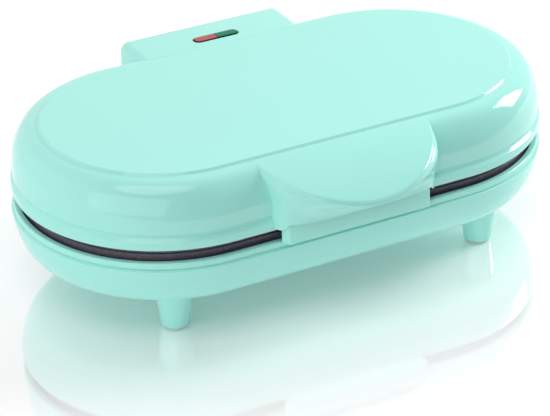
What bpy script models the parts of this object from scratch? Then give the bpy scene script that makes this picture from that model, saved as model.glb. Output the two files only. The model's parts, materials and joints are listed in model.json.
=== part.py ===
"""Heart waffle maker: a long iron for two five-heart waffles, on four legs, with a hinged lid.

Metres, +Z up. The body's plan is a stadium: two half circles joined by straight sides. The origin
is on the table under the middle of the whole outline, and the handle points to -Y.
"""

import math

import bmesh
import bpy
from mathutils import Vector

# Clearances
FIT = 0.0003
RUN = 0.0008
OVERRUN = 0.003

# Plan of the body
BODY_RADIUS = 0.0745
STRAIGHT_share = 0.83624
WALL = 0.0024
RIM_INSET = 0.0011
RIM_WIDTH = 0.0026
HALF_STRAIGHT = BODY_RADIUS * STRAIGHT_share
RIM_RADIUS = BODY_RADIUS - RIM_INSET
RIM_INNER = RIM_RADIUS - RIM_WIDTH

# Levels above the table
LEG_HEIGHT = 0.0192
BASE_DEPTH = 0.0245
LOWER_REVEAL = 0.0033
UPPER_REVEAL = 0.0034
LID_HEIGHT = 0.0322
BASE_RIM = LEG_HEIGHT + BASE_DEPTH
SEAM = BASE_RIM + LOWER_REVEAL
LID_RIM = SEAM + UPPER_REVEAL
LID_TOP = LID_RIM + LID_HEIGHT
BASE_FLOOR = LEG_HEIGHT + WALL

# Base wall: lip, groove and ridge under the rim, then one elliptical sweep to the floor
LIP_CHAMFER = 0.0008
LIP_HEIGHT = 0.0031
GROOVE_DEPTH = 0.0006
GROOVE_HEIGHT = 0.0010
BASE_ROUND_OUT = 0.0121
BASE_ROUND_DOWN = 0.0248
BASE_ROUND_STEPS = 6
INNER_ROUND_STEPS = 4
RIDGE_Z = BASE_RIM - LIP_HEIGHT - GROOVE_HEIGHT
BASE_ROUND_Z = LEG_HEIGHT + BASE_ROUND_DOWN
BASE_FLAT_RADIUS = BODY_RADIUS - BASE_ROUND_OUT

# Lid wall: rim bead, cove, upright, rounded shoulder, narrow ledge and raised top panel
LID_INSET = 0.0015
BEAD_OUT = 0.0010
BEAD_ROUND = 0.0018
BEAD_HEIGHT = 0.0050
COVE_DEPTH = 0.0006
COVE_HEIGHT = 0.0031
UPRIGHT_TOP = 0.0116
SHOULDER_OUT = 0.0128
LEDGE_OUT = 0.0008
LEDGE_FALL = 0.0002
PANEL_BEVEL_OUT = 0.0015
PANEL_BEVEL_DOWN = 0.0010
SHOULDER_STEPS = 6
SHOULDER_SQUARENESS = 2.1
LID_RADIUS = BODY_RADIUS - LID_INSET
BEAD_RADIUS = LID_RADIUS + BEAD_OUT
SHOULDER_Z = LID_RIM + UPRIGHT_TOP
SHOULDER_TOP = LID_TOP - PANEL_BEVEL_DOWN - LEDGE_FALL
SHOULDER_INNER = LID_RADIUS - SHOULDER_OUT
PANEL_RADIUS = SHOULDER_INNER - LEDGE_OUT - PANEL_BEVEL_OUT

# Waffle plates, measured from the seam: depth runs into the base or into the lid
PLATE_GAP = 0.0013
PLATE_THICKNESS = 0.00935
PLATE_LIP = 0.00705
PLATE_CHAMFER = 0.0004
LEDGE_WIDTH = 0.0022
LEDGE_HEIGHT = 0.0012
LEDGE_SLOPE = 0.0016
NECK_GAP = 0.0010
PLATE_RADIUS = RIM_INNER - PLATE_GAP
LEDGE_INNER = RIM_INNER - LEDGE_WIDTH
NECK_RADIUS = LEDGE_INNER - NECK_GAP
PLATE_FACE = FIT / 2
PLATE_BACK = PLATE_FACE + PLATE_THICKNESS
PLATE_SEAT = PLATE_FACE + PLATE_LIP
LEDGE_DEPTH = PLATE_SEAT + FIT
BACK_RIB = 0.0036
BACK_POCKET_DEPTH = 0.0050
BACK_CHANNEL = 0.0065
BACK_PAD_RADIUS = NECK_RADIUS - BACK_RIB - BACK_CHANNEL

# Rosettes: five hearts with their tips to the middle, in a shallow flower, with a grid of pegs
HEARTS = 5
HEART_TIP_share = 0.0863
LOBE_OUT_share = 0.6115
LOBE_SIDE_share = 0.1669
LOBE_RADIUS_share = 0.1813
HEART_DEPTH = 0.0067
HEART_DRAFT = 0.0008
LOBE_STEPS = 5
FLOWER_GROW = 0.0032
FLOWER_DEPTH = 0.0025
FLOWER_STEPS = 3
PEG_PITCH_share = 0.1468
PEG_FIRST_share = 0.2734
PEG_ROWS = 4
PEG_COLUMNS = 2
PEG_BASE = 0.0060
PEG_TOP = 0.0050
PEG_DROP = 0.0024
PEG_MARGIN = 0.0006
HEART_TIP = PLATE_RADIUS * HEART_TIP_share
HEART_LOBE_OUT = PLATE_RADIUS * LOBE_OUT_share
HEART_LOBE_SIDE = PLATE_RADIUS * LOBE_SIDE_share
HEART_LOBE_RADIUS = PLATE_RADIUS * LOBE_RADIUS_share
PEG_PITCH = PLATE_RADIUS * PEG_PITCH_share
PEG_FIRST = PLATE_RADIUS * PEG_FIRST_share

# Heating elements and heat shields behind the plates; the loop runs inside the plate screws
SCREW_IN = 0.0225
SCREW_PLACE = BODY_RADIUS - SCREW_IN
ELEMENT_RADIUS = 0.0033
ELEMENT_IN = 0.0100
ELEMENT_LOOP_RADIUS = SCREW_PLACE - ELEMENT_IN
ELEMENT_GAP = 0.0120
ELEMENT_BEND = 0.0060
ELEMENT_LEG = 0.0040
ELEMENT_PIN = 0.0050
ELEMENT_PIN_share = 0.42
ELEMENT_STEPS = 7
ELEMENT_BEND_STEPS = 3
ELEMENT_FACETS = 1
SHIELD_SHEET = 0.0010
SHIELD_INSET = 0.0056
ELEMENT_DEPTH = PLATE_BACK + FIT + ELEMENT_RADIUS
SHIELD_FLOOR = ELEMENT_DEPTH + ELEMENT_RADIUS + FIT
SHIELD_BACK = SHIELD_FLOOR + SHIELD_SHEET
SHIELD_RADIUS = NECK_RADIUS - SHIELD_INSET

# Plate screws, countersunk in the plates between the rosettes
SCREW_RADIUS = 0.0016
SCREW_HEAD = 0.0034
SCREW_HEAD_HEIGHT = 0.0018
SCREW_SINK = 0.0003
SCREW_GRIP = 0.0055
BOSS_RADIUS = 0.0046
BOSS_TOP = SHIELD_BACK + FIT

# Legs and foot pads
LEG_OUT = 0.0211
LEG_IN = 0.0245
LEG_FOOT_RADIUS = 0.00675
LEG_TOP_RADIUS = 0.0093
LEG_EDGE = 0.0018
LEG_WALL = 0.0026
LEG_LIFT = 0.0008
PAD_RADIUS = 0.0049
PAD_HEIGHT = 0.0026
PAD_EDGE = 0.0005
LEG_SINK = 0.0012
LEG_X = HALF_STRAIGHT + LEG_OUT
LEG_Y = BODY_RADIUS - LEG_IN

# Tab at the front of the base, in front of the lid's rim
TAB_REACH = 0.0050
TAB_HALF = 0.0375
TAB_SPREAD = 0.0029
TAB_RISE = 0.0041
TAB_FACE_RISE = 0.0003
TAB_CORNER = 0.0020
TAB_EDGE = 0.0008
TAB_LIP_EDGE = 0.0005
TAB_UNDER_DEPTH = 0.0036
TAB_UNDER_IN = 0.0060
TAB_STEP = 0.0010
TAB_FRONT = BODY_RADIUS + TAB_REACH
TAB_BACK_HALF = TAB_HALF + TAB_SPREAD
TAB_TOP = LID_RIM + TAB_RISE
TAB_FACE_BOTTOM = BASE_RIM + TAB_FACE_RISE
TAB_BACK = BEAD_RADIUS + RUN
TAB_ROOT = RIM_INNER - WALL

# Hood that is the lid's handle
HOOD_TOP_HALF = 0.0474
HOOD_TOP_IN = 0.0209
HOOD_FOOT_HALF = 0.0430
HOOD_FOOT_IN = 0.0085
HOOD_FOOT_DEPTH = 0.0178
HOOD_FOOT_SQUARENESS = 4.0
HOOD_BACK_IN = 0.0295
HOOD_TOP_DROP = 0.0011
HOOD_FALL_IN = 0.0145
HOOD_FALL = 0.0061
HOOD_ROLL = 0.0072
HOOD_EDGE = 0.0016
HOOD_FOOT_LIFT = 0.0016
HOOD_WALL = 0.0024
HOOD_STEPS = 18
HOOD_EDGE_STEPS = 2
ARCH_CLEARANCE = 0.0007
ARCH_INSET = 0.0005
ARCH_SPREAD = 0.0040
ARCH_ROUND = 0.0030
ARCH_HALF = TAB_HALF - ARCH_INSET
HOOD_TOP = LID_TOP - HOOD_TOP_DROP
HOOD_FOOT = LID_RIM + HOOD_FOOT_LIFT
HOOD_TOP_MIDDLE = BODY_RADIUS - HOOD_TOP_IN
HOOD_FOOT_MIDDLE = BODY_RADIUS - HOOD_FOOT_IN
HOOD_BACK = BODY_RADIUS - HOOD_BACK_IN
HOOD_FALL_START = BODY_RADIUS - HOOD_FALL_IN
HANDLE_REACH = HOOD_TOP_MIDDLE + HOOD_TOP_HALF
HOOD_SIDE_shares = (0.08, 0.20, 0.40, 0.65, 1.0)
POCKET_CURL_share = 0.50
POCKET_BEND_share = 0.80

# Hinge at the back: a barrel on the base between two cheeks of the lid
HINGE_OUT = 0.0067
HINGE_LIFT = 0.0018
BARREL_RADIUS = 0.0060
BARREL_HALF = 0.0409
CHEEK_THICKNESS = 0.0032
CHEEK_INNER = BARREL_HALF + RUN
CHEEK_OUTER = CHEEK_INNER + CHEEK_THICKNESS
PIN_RADIUS = 0.0020
PIN_DEPTH = 0.0100
PIN_HEAD = 0.0034
PIN_HEAD_HEIGHT = 0.0010
PIN_SINK = 0.0002
HINGE_Y = BODY_RADIUS + HINGE_OUT
HINGE_Z = BASE_RIM + HINGE_LIFT
HINGE_REACH = HINGE_Y + BARREL_RADIUS

# Rear block of the base
REAR_SINK = 0.0007
REAR_ROOT = 0.0165
REAR_EDGE = 0.0030
REAR_FACE = HINGE_REACH - REAR_SINK
REAR_START = BODY_RADIUS - REAR_ROOT
REAR_TOP = BASE_RIM - FIT
REAR_CEILING = HINGE_Z - BARREL_RADIUS - WALL

# Rear block of the lid
BLOCK_MARGIN = 0.0004
BLOCK_DRAFT = 0.0004
BLOCK_TOP_DROP = 0.0008
BLOCK_ROOT = 0.0145
BLOCK_GAP = 0.0010
BLOCK_EDGE = 0.0030
BLOCK_WALL = 0.0026
POCKET_RISE = 0.0121
POCKET_STEP = 0.0002
BLOCK_HALF = CHEEK_OUTER + BLOCK_MARGIN
BLOCK_TOP = LID_TOP - BLOCK_TOP_DROP
BLOCK_START = BODY_RADIUS - BLOCK_ROOT
BLOCK_BOTTOM = HINGE_Z + BARREL_RADIUS + BLOCK_GAP
BLOCK_TOP_HALF = BLOCK_HALF - BLOCK_DRAFT
BLOCK_TOP_REAR = HINGE_REACH - BLOCK_DRAFT
POCKET_CEILING = HINGE_Z + POCKET_RISE
POCKET_FRONT = BEAD_RADIUS + FIT

# Indicator lens and the lamps under it
LENS_X = 0.0005
LENS_AHEAD = 0.0112
LENS_LENGTH = 0.0250
LENS_WIDTH = 0.0065
LENS_CORNER = 0.0029
LENS_SINK = 0.0003
LENS_FLANGE = 0.0010
LENS_FLANGE_HEIGHT = 0.0012
LAMP_RADIUS = 0.0024
LAMP_HEIGHT = 0.0069
HOLDER_HALF = 0.0215
HOLDER_DEPTH = 0.0070
HOLDER_SHEET = 0.0020
HOLDER_SCREW_X = 0.0175
HOLDER_BOSS_RADIUS = 0.0027
SMALL_SCREW_RADIUS = 0.0011
SMALL_SCREW_HEAD = 0.0024
SMALL_SCREW_HEAD_HEIGHT = 0.0014
SMALL_SCREW_GRIP = 0.0050
LENS_Y = HINGE_Y - LENS_AHEAD
LAMP_CEILING = BLOCK_TOP - WALL
LAMP_FLOOR = POCKET_CEILING + WALL
LENS_BOTTOM = LAMP_CEILING - FIT - LENS_FLANGE_HEIGHT
HOLDER_TOP = LENS_BOTTOM - 2 * FIT - LAMP_HEIGHT
HOLDER_BOTTOM = HOLDER_TOP - HOLDER_SHEET

# Wiring parts inside the base and its rear block
THERMOSTAT_X = -0.0340
THERMOSTAT_RADIUS = 0.0083
THERMOSTAT_CAP = 0.0069
THERMOSTAT_FLANGE = 0.0022
FUSE_X = 0.0340
FUSE_RADIUS = 0.0020
FUSE_LENGTH = 0.0110
FUSE_LEAD = 0.0060
FUSE_LEAD_RADIUS = 0.0006
TERMINAL_X_share = -0.3912
TERMINAL_IN = 0.0115
TERMINAL_LENGTH_share = 0.5868
TERMINAL_WIDTH = 0.0100
TERMINAL_HEIGHT = 0.0083
TERMINAL_SCREW_share = 0.1711
TERMINAL_SCREW_GRIP = 0.0040
CLAMP_X_share = 0.4401
CLAMP_IN = 0.0095
CLAMP_LENGTH_share = 0.5379
CLAMP_WIDTH = 0.0066
CLAMP_HEIGHT = 0.0030
CLAMP_SCREW_share = 0.1907
CLAMP_CORD_ROOM = 0.0084
BUSH_RISE = 0.0113
BUSH_FLANGE_RADIUS = 0.0065
BUSH_FLANGE = 0.0010
BUSH_NECK_RADIUS = 0.0047
BUSH_BORE_RADIUS = 0.0033
BUSH_LENGTH = 0.0052
BUSH_RECESS = 0.0008
TERMINAL_X = BARREL_HALF * TERMINAL_X_share
TERMINAL_Y = REAR_FACE - TERMINAL_IN
TERMINAL_LENGTH = BARREL_HALF * TERMINAL_LENGTH_share
TERMINAL_SCREW_X = BARREL_HALF * TERMINAL_SCREW_share
CLAMP_X = BARREL_HALF * CLAMP_X_share
CLAMP_LENGTH = BARREL_HALF * CLAMP_LENGTH_share
CLAMP_SCREW_X = BARREL_HALF * CLAMP_SCREW_share
CLAMP_Y = REAR_FACE - CLAMP_IN
BUSH_Z = LEG_HEIGHT + BUSH_RISE

# Cover of the wiring, let into the floor under the rear block
COVER_INSET = 0.0033
COVER_REAR_IN = 0.0035
COVER_DEPTH = 0.0170
COVER_RECESS = 0.0012
COVER_END = 0.0081
COVER_LAND = 0.0020
COVER_CORNER = 0.0020
COVER_SCREW_IN = 0.0041
COVER_BOSS_RADIUS = 0.0031
COVER_BOSS_HEIGHT = 0.0054
COVER_HALF = BARREL_HALF - COVER_INSET
COVER_REAR = REAR_FACE - COVER_REAR_IN
COVER_FRONT = COVER_REAR - COVER_DEPTH
COVER_OPENING_HALF = COVER_HALF - COVER_END
COVER_SCREW_X = COVER_HALF - COVER_SCREW_IN
COVER_SCREW_Y = (COVER_FRONT + COVER_REAR) / 2

ROUND_STEPS = 12
TURN_STEPS = 14
BOSS_STEPS = 10
BARREL_STEPS = 20
BORE_STEPS = 8
PAD_STEPS = 18
CORNER_STEPS = 3
BLOCK_STEPS = 4
CHEEK_STEPS = 8
ALONG_share = 0.9
FLAT_ANGLE = math.radians(0.5)
SMOOTH_ANGLE = math.radians(35)
BODY_SHIFT = (HANDLE_REACH - HINGE_REACH) / 2
HINGE = Vector((0, HINGE_Y, HINGE_Z))

# Finishes: sRGB colour, roughness, metallic
FINISHES = {
    "mint": ((183, 245, 234), 0.28, 0.0),
    "coating": ((58, 62, 68), 0.45, 0.3),
    "steel": ((196, 198, 200), 0.30, 1.0),
    "sheet": ((206, 208, 210), 0.38, 1.0),
    "black": ((32, 33, 36), 0.50, 0.0),
    "rubber": ((188, 206, 200), 0.80, 0.0),
    "ceramic": ((236, 230, 216), 0.60, 0.0),
    "red": ((200, 92, 88), 0.15, 0.0),
    "green": ((49, 139, 108), 0.15, 0.0),
    "glass": ((226, 214, 200), 0.08, 0.0),
}


def linear(value):
    """One sRGB channel of 0 to 255 as a linear value"""
    value = value / 255
    return value / 12.92 if value <= 0.04045 else ((value + 0.055) / 1.055) ** 2.4


def material(name, finish):
    rgb, roughness, metallic = FINISHES[finish]
    made = bpy.data.materials.new(name)
    made.use_nodes = True
    shader = made.node_tree.nodes["Principled BSDF"]
    shader.inputs["Base Color"].default_value = (*map(linear, rgb), 1)
    shader.inputs["Roughness"].default_value = roughness
    shader.inputs["Metallic"].default_value = metallic
    return made


class Workshop:
    """The collections and frames that the pieces are placed in"""

    def __init__(self):
        for obj in list(bpy.data.objects):
            bpy.data.objects.remove(obj)
        root = bpy.context.scene.collection
        self.parts = bpy.data.collections.new("heart_waffle_maker")
        self.tools = bpy.data.collections.new("cutters")
        root.children.link(self.parts)
        root.children.link(self.tools)
        self.base = self.frame("base_frame", None, Vector((0, BODY_SHIFT, 0)))
        self.lid = self.frame("lid_frame", self.base, HINGE)
        self.origins = {self.base: Vector(), self.lid: HINGE}

    def frame(self, name, parent, place):
        empty = bpy.data.objects.new(name, None)
        self.parts.objects.link(empty)
        empty.parent = parent
        empty.location = place
        return empty

    def put(self, obj, frame, place=(0, 0, 0), turn=(0, 0, 0)):
        """Places a piece by the point of the body's frame where its own origin goes"""
        obj.parent = frame
        obj.location = Vector(place) - self.origins[frame]
        obj.rotation_euler = turn
        return obj

    def piece(self, name, obj, finish, frame, place=(0, 0, 0), turn=(0, 0, 0)):
        obj.name = name
        self.parts.objects.link(obj)
        obj.data.materials.append(material(name + "_finish", finish))
        return self.put(obj, frame, place, turn)

    def tool(self, name, obj, frame, place=(0, 0, 0), turn=(0, 0, 0)):
        obj.name = name
        self.tools.objects.link(obj)
        obj.hide_render = True
        obj.display_type = "WIRE"
        return self.put(obj, frame, place, turn)


def mesh_object(bm):
    """An object from a closed bmesh, its faces turned outwards and its round sides smooth"""
    bmesh.ops.remove_doubles(bm, verts=bm.verts[:], dist=FIT / 1000)
    bmesh.ops.recalc_face_normals(bm, faces=bm.faces[:])
    mesh = bpy.data.meshes.new("solid")
    bm.to_mesh(mesh)
    bm.free()
    mesh.shade_smooth()
    mesh.set_sharp_from_angle(angle=SMOOTH_ANGLE)
    return bpy.data.objects.new("solid", mesh)


def swept(profile):
    """A solid from (out, up) points, led once round the plan of the body"""
    bm = bmesh.new()
    points = [bm.verts.new((HALF_STRAIGHT, -out, up)) for out, up in profile]
    section = points + [bm.edges.new(pair) for pair in zip(points, points[1:])]
    for end in (HALF_STRAIGHT, -HALF_STRAIGHT):
        spun = bmesh.ops.spin(
            bm, geom=section, cent=(end, 0, 0), axis=(0, 0, 1), angle=math.pi, steps=ROUND_STEPS
        )
        edges = [item for item in spun["geom_last"] if isinstance(item, bmesh.types.BMEdge)]
        drawn = bmesh.ops.extrude_edge_only(bm, edges=edges)["geom"]
        moved = [item for item in drawn if isinstance(item, bmesh.types.BMVert)]
        bmesh.ops.translate(bm, verts=moved, vec=(-2 * end, 0, 0))
        ahead = set(moved)
        lines = [item for item in drawn if isinstance(item, bmesh.types.BMEdge)]
        section = moved + [line for line in lines if set(line.verts) <= ahead]
    bmesh.ops.remove_doubles(bm, verts=bm.verts[:], dist=FIT / 1000)
    bmesh.ops.dissolve_limit(bm, angle_limit=FLAT_ANGLE, verts=bm.verts[:], edges=bm.edges[:])
    return mesh_object(bm)


def turned(profile, steps=TURN_STEPS):
    """A solid turned round Z from (out, up) points, listed from the top down the outer side"""
    mesh = bpy.data.meshes.new("turned")
    lines = [(i, i + 1) for i in range(len(profile) - 1)]
    mesh.from_pydata([(out, 0, up) for out, up in profile], lines, [])
    obj = bpy.data.objects.new("turned", mesh)
    screw = obj.modifiers.new("Turn", "SCREW")
    screw.steps = screw.render_steps = steps
    screw.use_merge_vertices = True
    screw.merge_threshold = FIT / 100
    return obj


def rod(radius, bottom, top, steps=TURN_STEPS):
    bm = bmesh.new()
    bmesh.ops.create_cone(
        bm, cap_ends=True, segments=steps, radius1=radius, radius2=radius, depth=top - bottom
    )
    bmesh.ops.translate(bm, vec=(0, 0, (top + bottom) / 2), verts=bm.verts[:])
    return mesh_object(bm)


def lofted(rings):
    """A skin over rings of equally many points, with flat ends"""
    bm = bmesh.new()
    loops = [[bm.verts.new(point) for point in ring] for ring in rings]
    for low, high in zip(loops, loops[1:]):
        for i in range(len(low)):
            j = (i + 1) % len(low)
            bm.faces.new((low[i], low[j], high[j], high[i]))
    bm.faces.new(loops[0])
    bm.faces.new(loops[-1])
    return bm


def prism(outline, bottom, top):
    rings = [[(x, y, z) for x, y in outline] for z in (bottom, top)]
    return mesh_object(lofted(rings))


def box(low, high):
    """A box between two corners"""
    bm = bmesh.new()
    bmesh.ops.create_cube(bm, size=1)
    low, high = Vector(low), Vector(high)
    bmesh.ops.scale(bm, vec=high - low, verts=bm.verts[:])
    bmesh.ops.translate(bm, vec=(low + high) / 2, verts=bm.verts[:])
    return bm


def rounded(bm, radius, steps, choose):
    """Rounds the edges whose middle and direction the chooser accepts"""
    edges = []
    for edge in bm.edges:
        middle = (edge.verts[0].co + edge.verts[1].co) / 2
        along = (edge.verts[1].co - edge.verts[0].co).normalized()
        if choose(middle, along):
            edges.append(edge)
    bmesh.ops.bevel(
        bm, geom=edges, offset=radius, segments=steps, profile=0.5, affect="EDGES", clamp_overlap=True
    )
    return bm


def round_cornered(corners, radius, steps=CORNER_STEPS):
    """An outline through the corners, with each one rounded"""
    outline = []
    for i, corner in enumerate(corners):
        corner = Vector(corner)
        back = (Vector(corners[i - 1]) - corner).normalized()
        ahead = (Vector(corners[(i + 1) % len(corners)]) - corner).normalized()
        half_angle = back.angle(ahead) / 2
        centre = corner + (back + ahead).normalized() * radius / math.sin(half_angle)
        start = corner + back * radius / math.tan(half_angle) - centre
        end = corner + ahead * radius / math.tan(half_angle) - centre
        sweep = math.atan2(start.x * end.y - start.y * end.x, start.dot(end))
        first = math.atan2(start.y, start.x)
        for step in range(steps + 1):
            turn = first + sweep * step / steps
            outline.append((centre.x + radius * math.cos(turn), centre.y + radius * math.sin(turn)))
    return outline


def rectangle(half_x, low_y, high_y, radius):
    corners = [(-half_x, low_y), (half_x, low_y), (half_x, high_y), (-half_x, high_y)]
    return round_cornered(corners, radius)


def ellipse_fall(inner, top, out, down, steps, start=0.0, power=2.0):
    """(out, up) points of a quarter round from its outer end to its inner end"""
    points = []
    for step in range(steps + 1):
        turn = start + (math.pi / 2 - start) * step / steps
        reach = inner + out * math.cos(turn) ** (2 / power) if step < steps else inner
        points.append((reach, top + down * math.sin(turn) ** (2 / power)))
    return points


def apply_to(target, operation, *tools):
    for tool in tools:
        modifier = target.modifiers.new(tool.name, "BOOLEAN")
        modifier.operation = operation
        modifier.solver = "EXACT"
        modifier.object = tool


def cut(target, *tools):
    apply_to(target, "DIFFERENCE", *tools)


def join(target, *tools):
    apply_to(target, "UNION", *tools)


# Base shell


def base_outside():
    ridge_start = math.asin((BASE_ROUND_Z - RIDGE_Z) / BASE_ROUND_DOWN)
    sweep = ellipse_fall(
        BASE_FLAT_RADIUS, BASE_ROUND_Z, BASE_ROUND_OUT, -BASE_ROUND_DOWN, BASE_ROUND_STEPS, ridge_start
    )
    rim = [
        (0, BASE_RIM),
        (RIM_RADIUS - LIP_CHAMFER, BASE_RIM),
        (RIM_RADIUS, BASE_RIM - LIP_CHAMFER),
        (RIM_RADIUS, BASE_RIM - LIP_HEIGHT),
        (RIM_RADIUS - GROOVE_DEPTH, BASE_RIM - LIP_HEIGHT - GROOVE_DEPTH / 2),
    ]
    return swept(rim + sweep + [(0, LEG_HEIGHT)])


def base_inside():
    """The space inside the base, with the ledge that the lower plate sits on"""
    ledge = SEAM - LEDGE_DEPTH
    out = BASE_ROUND_OUT - WALL
    down = BASE_ROUND_DOWN - WALL
    slope_bottom = ledge - LEDGE_HEIGHT - LEDGE_SLOPE
    start = math.asin((BASE_ROUND_Z - slope_bottom) / down)
    sweep = ellipse_fall(BASE_FLAT_RADIUS, BASE_ROUND_Z, out, -down, INNER_ROUND_STEPS, start)
    top = [
        (0, BASE_RIM + OVERRUN),
        (RIM_INNER, BASE_RIM + OVERRUN),
        (RIM_INNER, ledge),
        (LEDGE_INNER, ledge),
        (LEDGE_INNER, ledge - LEDGE_HEIGHT),
    ]
    return swept(top + sweep + [(0, BASE_FLOOR)])


def leg():
    top = LEG_HEIGHT + LEG_SINK
    edge = LEG_FOOT_RADIUS - LEG_EDGE
    return turned(
        [
            (0, top),
            (LEG_TOP_RADIUS, top),
            (LEG_FOOT_RADIUS, LEG_LIFT + LEG_EDGE),
            (LEG_FOOT_RADIUS - LEG_EDGE / 3, LEG_LIFT + LEG_EDGE / 3),
            (edge, LEG_LIFT),
            (0, LEG_LIFT),
        ]
    )


def leg_core():
    """The hollow of a leg, open to the inside of the base"""
    top = BASE_FLOOR + OVERRUN
    bottom = PAD_HEIGHT + FIT + LEG_WALL
    foot = LEG_FOOT_RADIUS - LEG_WALL
    return turned([(0, top), (LEG_TOP_RADIUS - LEG_WALL, top), (foot, bottom), (0, bottom)])


def tab_ring(z, front, half, back_half, back):
    corners = [(-back_half, -back), (-half, -front), (half, -front), (back_half, -back)]
    return [(x, y, z) for x, y in round_cornered(corners, TAB_CORNER / 2)]


def tab_under(z):
    """The tab's outline at a height on its underside, which slopes in to the wall"""
    inset = TAB_UNDER_IN * (TAB_FACE_BOTTOM - z) / TAB_UNDER_DEPTH
    return TAB_FRONT - TAB_LIP_EDGE - inset, TAB_HALF - inset / 2, TAB_BACK_HALF


def base_tab():
    """The tab: an upright face in front of the lid's rim, with a sloping underside"""
    root_top = BASE_RIM - TAB_STEP
    bottom = TAB_FACE_BOTTOM - TAB_UNDER_DEPTH
    face = (TAB_FRONT, TAB_HALF, TAB_BACK_HALF, TAB_BACK)
    top = (TAB_FRONT - TAB_EDGE, TAB_HALF - TAB_EDGE, TAB_BACK_HALF - TAB_EDGE, TAB_BACK)
    rings = [
        tab_ring(bottom, *tab_under(bottom), TAB_ROOT),
        tab_ring(root_top, *tab_under(root_top), TAB_ROOT),
        tab_ring(root_top + FIT, *tab_under(root_top + FIT), TAB_BACK),
        tab_ring(TAB_FACE_BOTTOM, *tab_under(TAB_FACE_BOTTOM), TAB_BACK),
        tab_ring(TAB_FACE_BOTTOM + TAB_LIP_EDGE, *face),
        tab_ring(TAB_TOP - TAB_EDGE, *face),
        tab_ring(TAB_TOP, *top),
    ]
    return mesh_object(lofted(rings))


def base_rear_block():
    bm = box((-BARREL_HALF, REAR_START, LEG_HEIGHT), (BARREL_HALF, REAR_FACE, REAR_TOP))

    def rear_edge(middle, along):
        if middle.y < REAR_START + WALL:
            return False
        return abs(along.z) > ALONG_share or (abs(along.x) > ALONG_share and middle.z < BASE_FLOOR)

    return mesh_object(rounded(bm, REAR_EDGE, CORNER_STEPS, rear_edge))


def make_base_shell(shop):
    shell = shop.piece("base_shell", base_outside(), "mint", shop.base)
    across = (0, math.pi / 2, 0)
    barrel = shop.tool(
        "barrel", rod(BARREL_RADIUS, -BARREL_HALF, BARREL_HALF, BARREL_STEPS), shop.base, HINGE, across
    )
    join(shell, shop.tool("rear_block", base_rear_block(), shop.base), barrel)
    join(shell, shop.tool("front_tab", base_tab(), shop.base))
    for number, (x, y) in enumerate(leg_places(), 1):
        join(shell, shop.tool(f"leg_{number}", leg(), shop.base, (x, y, 0)))
    cut(shell, shop.tool("base_space", base_inside(), shop.base))
    hollow = box(
        (-BARREL_HALF + WALL, REAR_START + WALL, BASE_FLOOR),
        (BARREL_HALF - WALL, REAR_FACE - WALL, REAR_CEILING),
    )
    cut(shell, shop.tool("rear_space", mesh_object(hollow), shop.base))
    for number, (x, y) in enumerate(leg_places(), 1):
        cut(shell, shop.tool(f"leg_core_{number}", leg_core(), shop.base, (x, y, 0)))
        socket = rod(PAD_RADIUS + FIT, LEG_LIFT - OVERRUN, PAD_HEIGHT + FIT)
        cut(shell, shop.tool(f"pad_socket_{number}", socket, shop.base, (x, y, 0)))
    for side, x in (("left", -BARREL_HALF), ("right", BARREL_HALF)):
        bore = rod(PIN_RADIUS + FIT, -PIN_DEPTH - FIT, PIN_DEPTH + FIT)
        cut(shell, shop.tool(f"barrel_bore_{side}", bore, shop.base, (x, HINGE_Y, HINGE_Z), across))
    add_plate_bosses(shop, shell, shop.base, -1)
    add_bush_hole(shop, shell)
    add_cover_opening(shop, shell)
    add_wiring_bosses(shop, shell)
    return shell


def small_bore(start, end):
    """The hole of a small screw that reaches up to the end"""
    return rod(SMALL_SCREW_RADIUS + FIT, start, end + FIT, BORE_STEPS)


def leg_places():
    return [(x, y) for y in (-LEG_Y, LEG_Y) for x in (-LEG_X, LEG_X)]


def add_plate_bosses(shop, shell, frame, side):
    """Screw bosses from the shell's floor or ceiling to the heat shield"""
    root = BASE_FLOOR - WALL / 2 if side < 0 else LID_TOP - WALL
    face = SEAM + side * BOSS_TOP
    name = "lower" if side < 0 else "upper"
    for number, y in enumerate((-SCREW_PLACE, SCREW_PLACE), 1):
        boss = rod(BOSS_RADIUS, min(root, face), max(root, face), BOSS_STEPS)
        join(shell, shop.tool(f"{name}_boss_{number}", boss, frame, (0, y, 0)))
    ends = sorted((face - side * OVERRUN, face + side * (SCREW_GRIP + FIT)))
    for number, y in enumerate((-SCREW_PLACE, SCREW_PLACE), 1):
        bore = rod(SCREW_RADIUS + FIT, *ends, BORE_STEPS)
        cut(shell, shop.tool(f"{name}_boss_bore_{number}", bore, frame, (0, y, 0)))


def add_bush_hole(shop, shell):
    to_rear = (-math.pi / 2, 0, 0)
    place = (CLAMP_X, REAR_FACE, BUSH_Z)
    hole = rod(BUSH_NECK_RADIUS + FIT, -WALL - OVERRUN, OVERRUN)
    recess = rod(BUSH_FLANGE_RADIUS + FIT, -BUSH_RECESS, OVERRUN)
    cut(shell, shop.tool("bush_recess", recess, shop.base, place, to_rear))
    cut(shell, shop.tool("bush_hole", hole, shop.base, place, to_rear))


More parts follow.
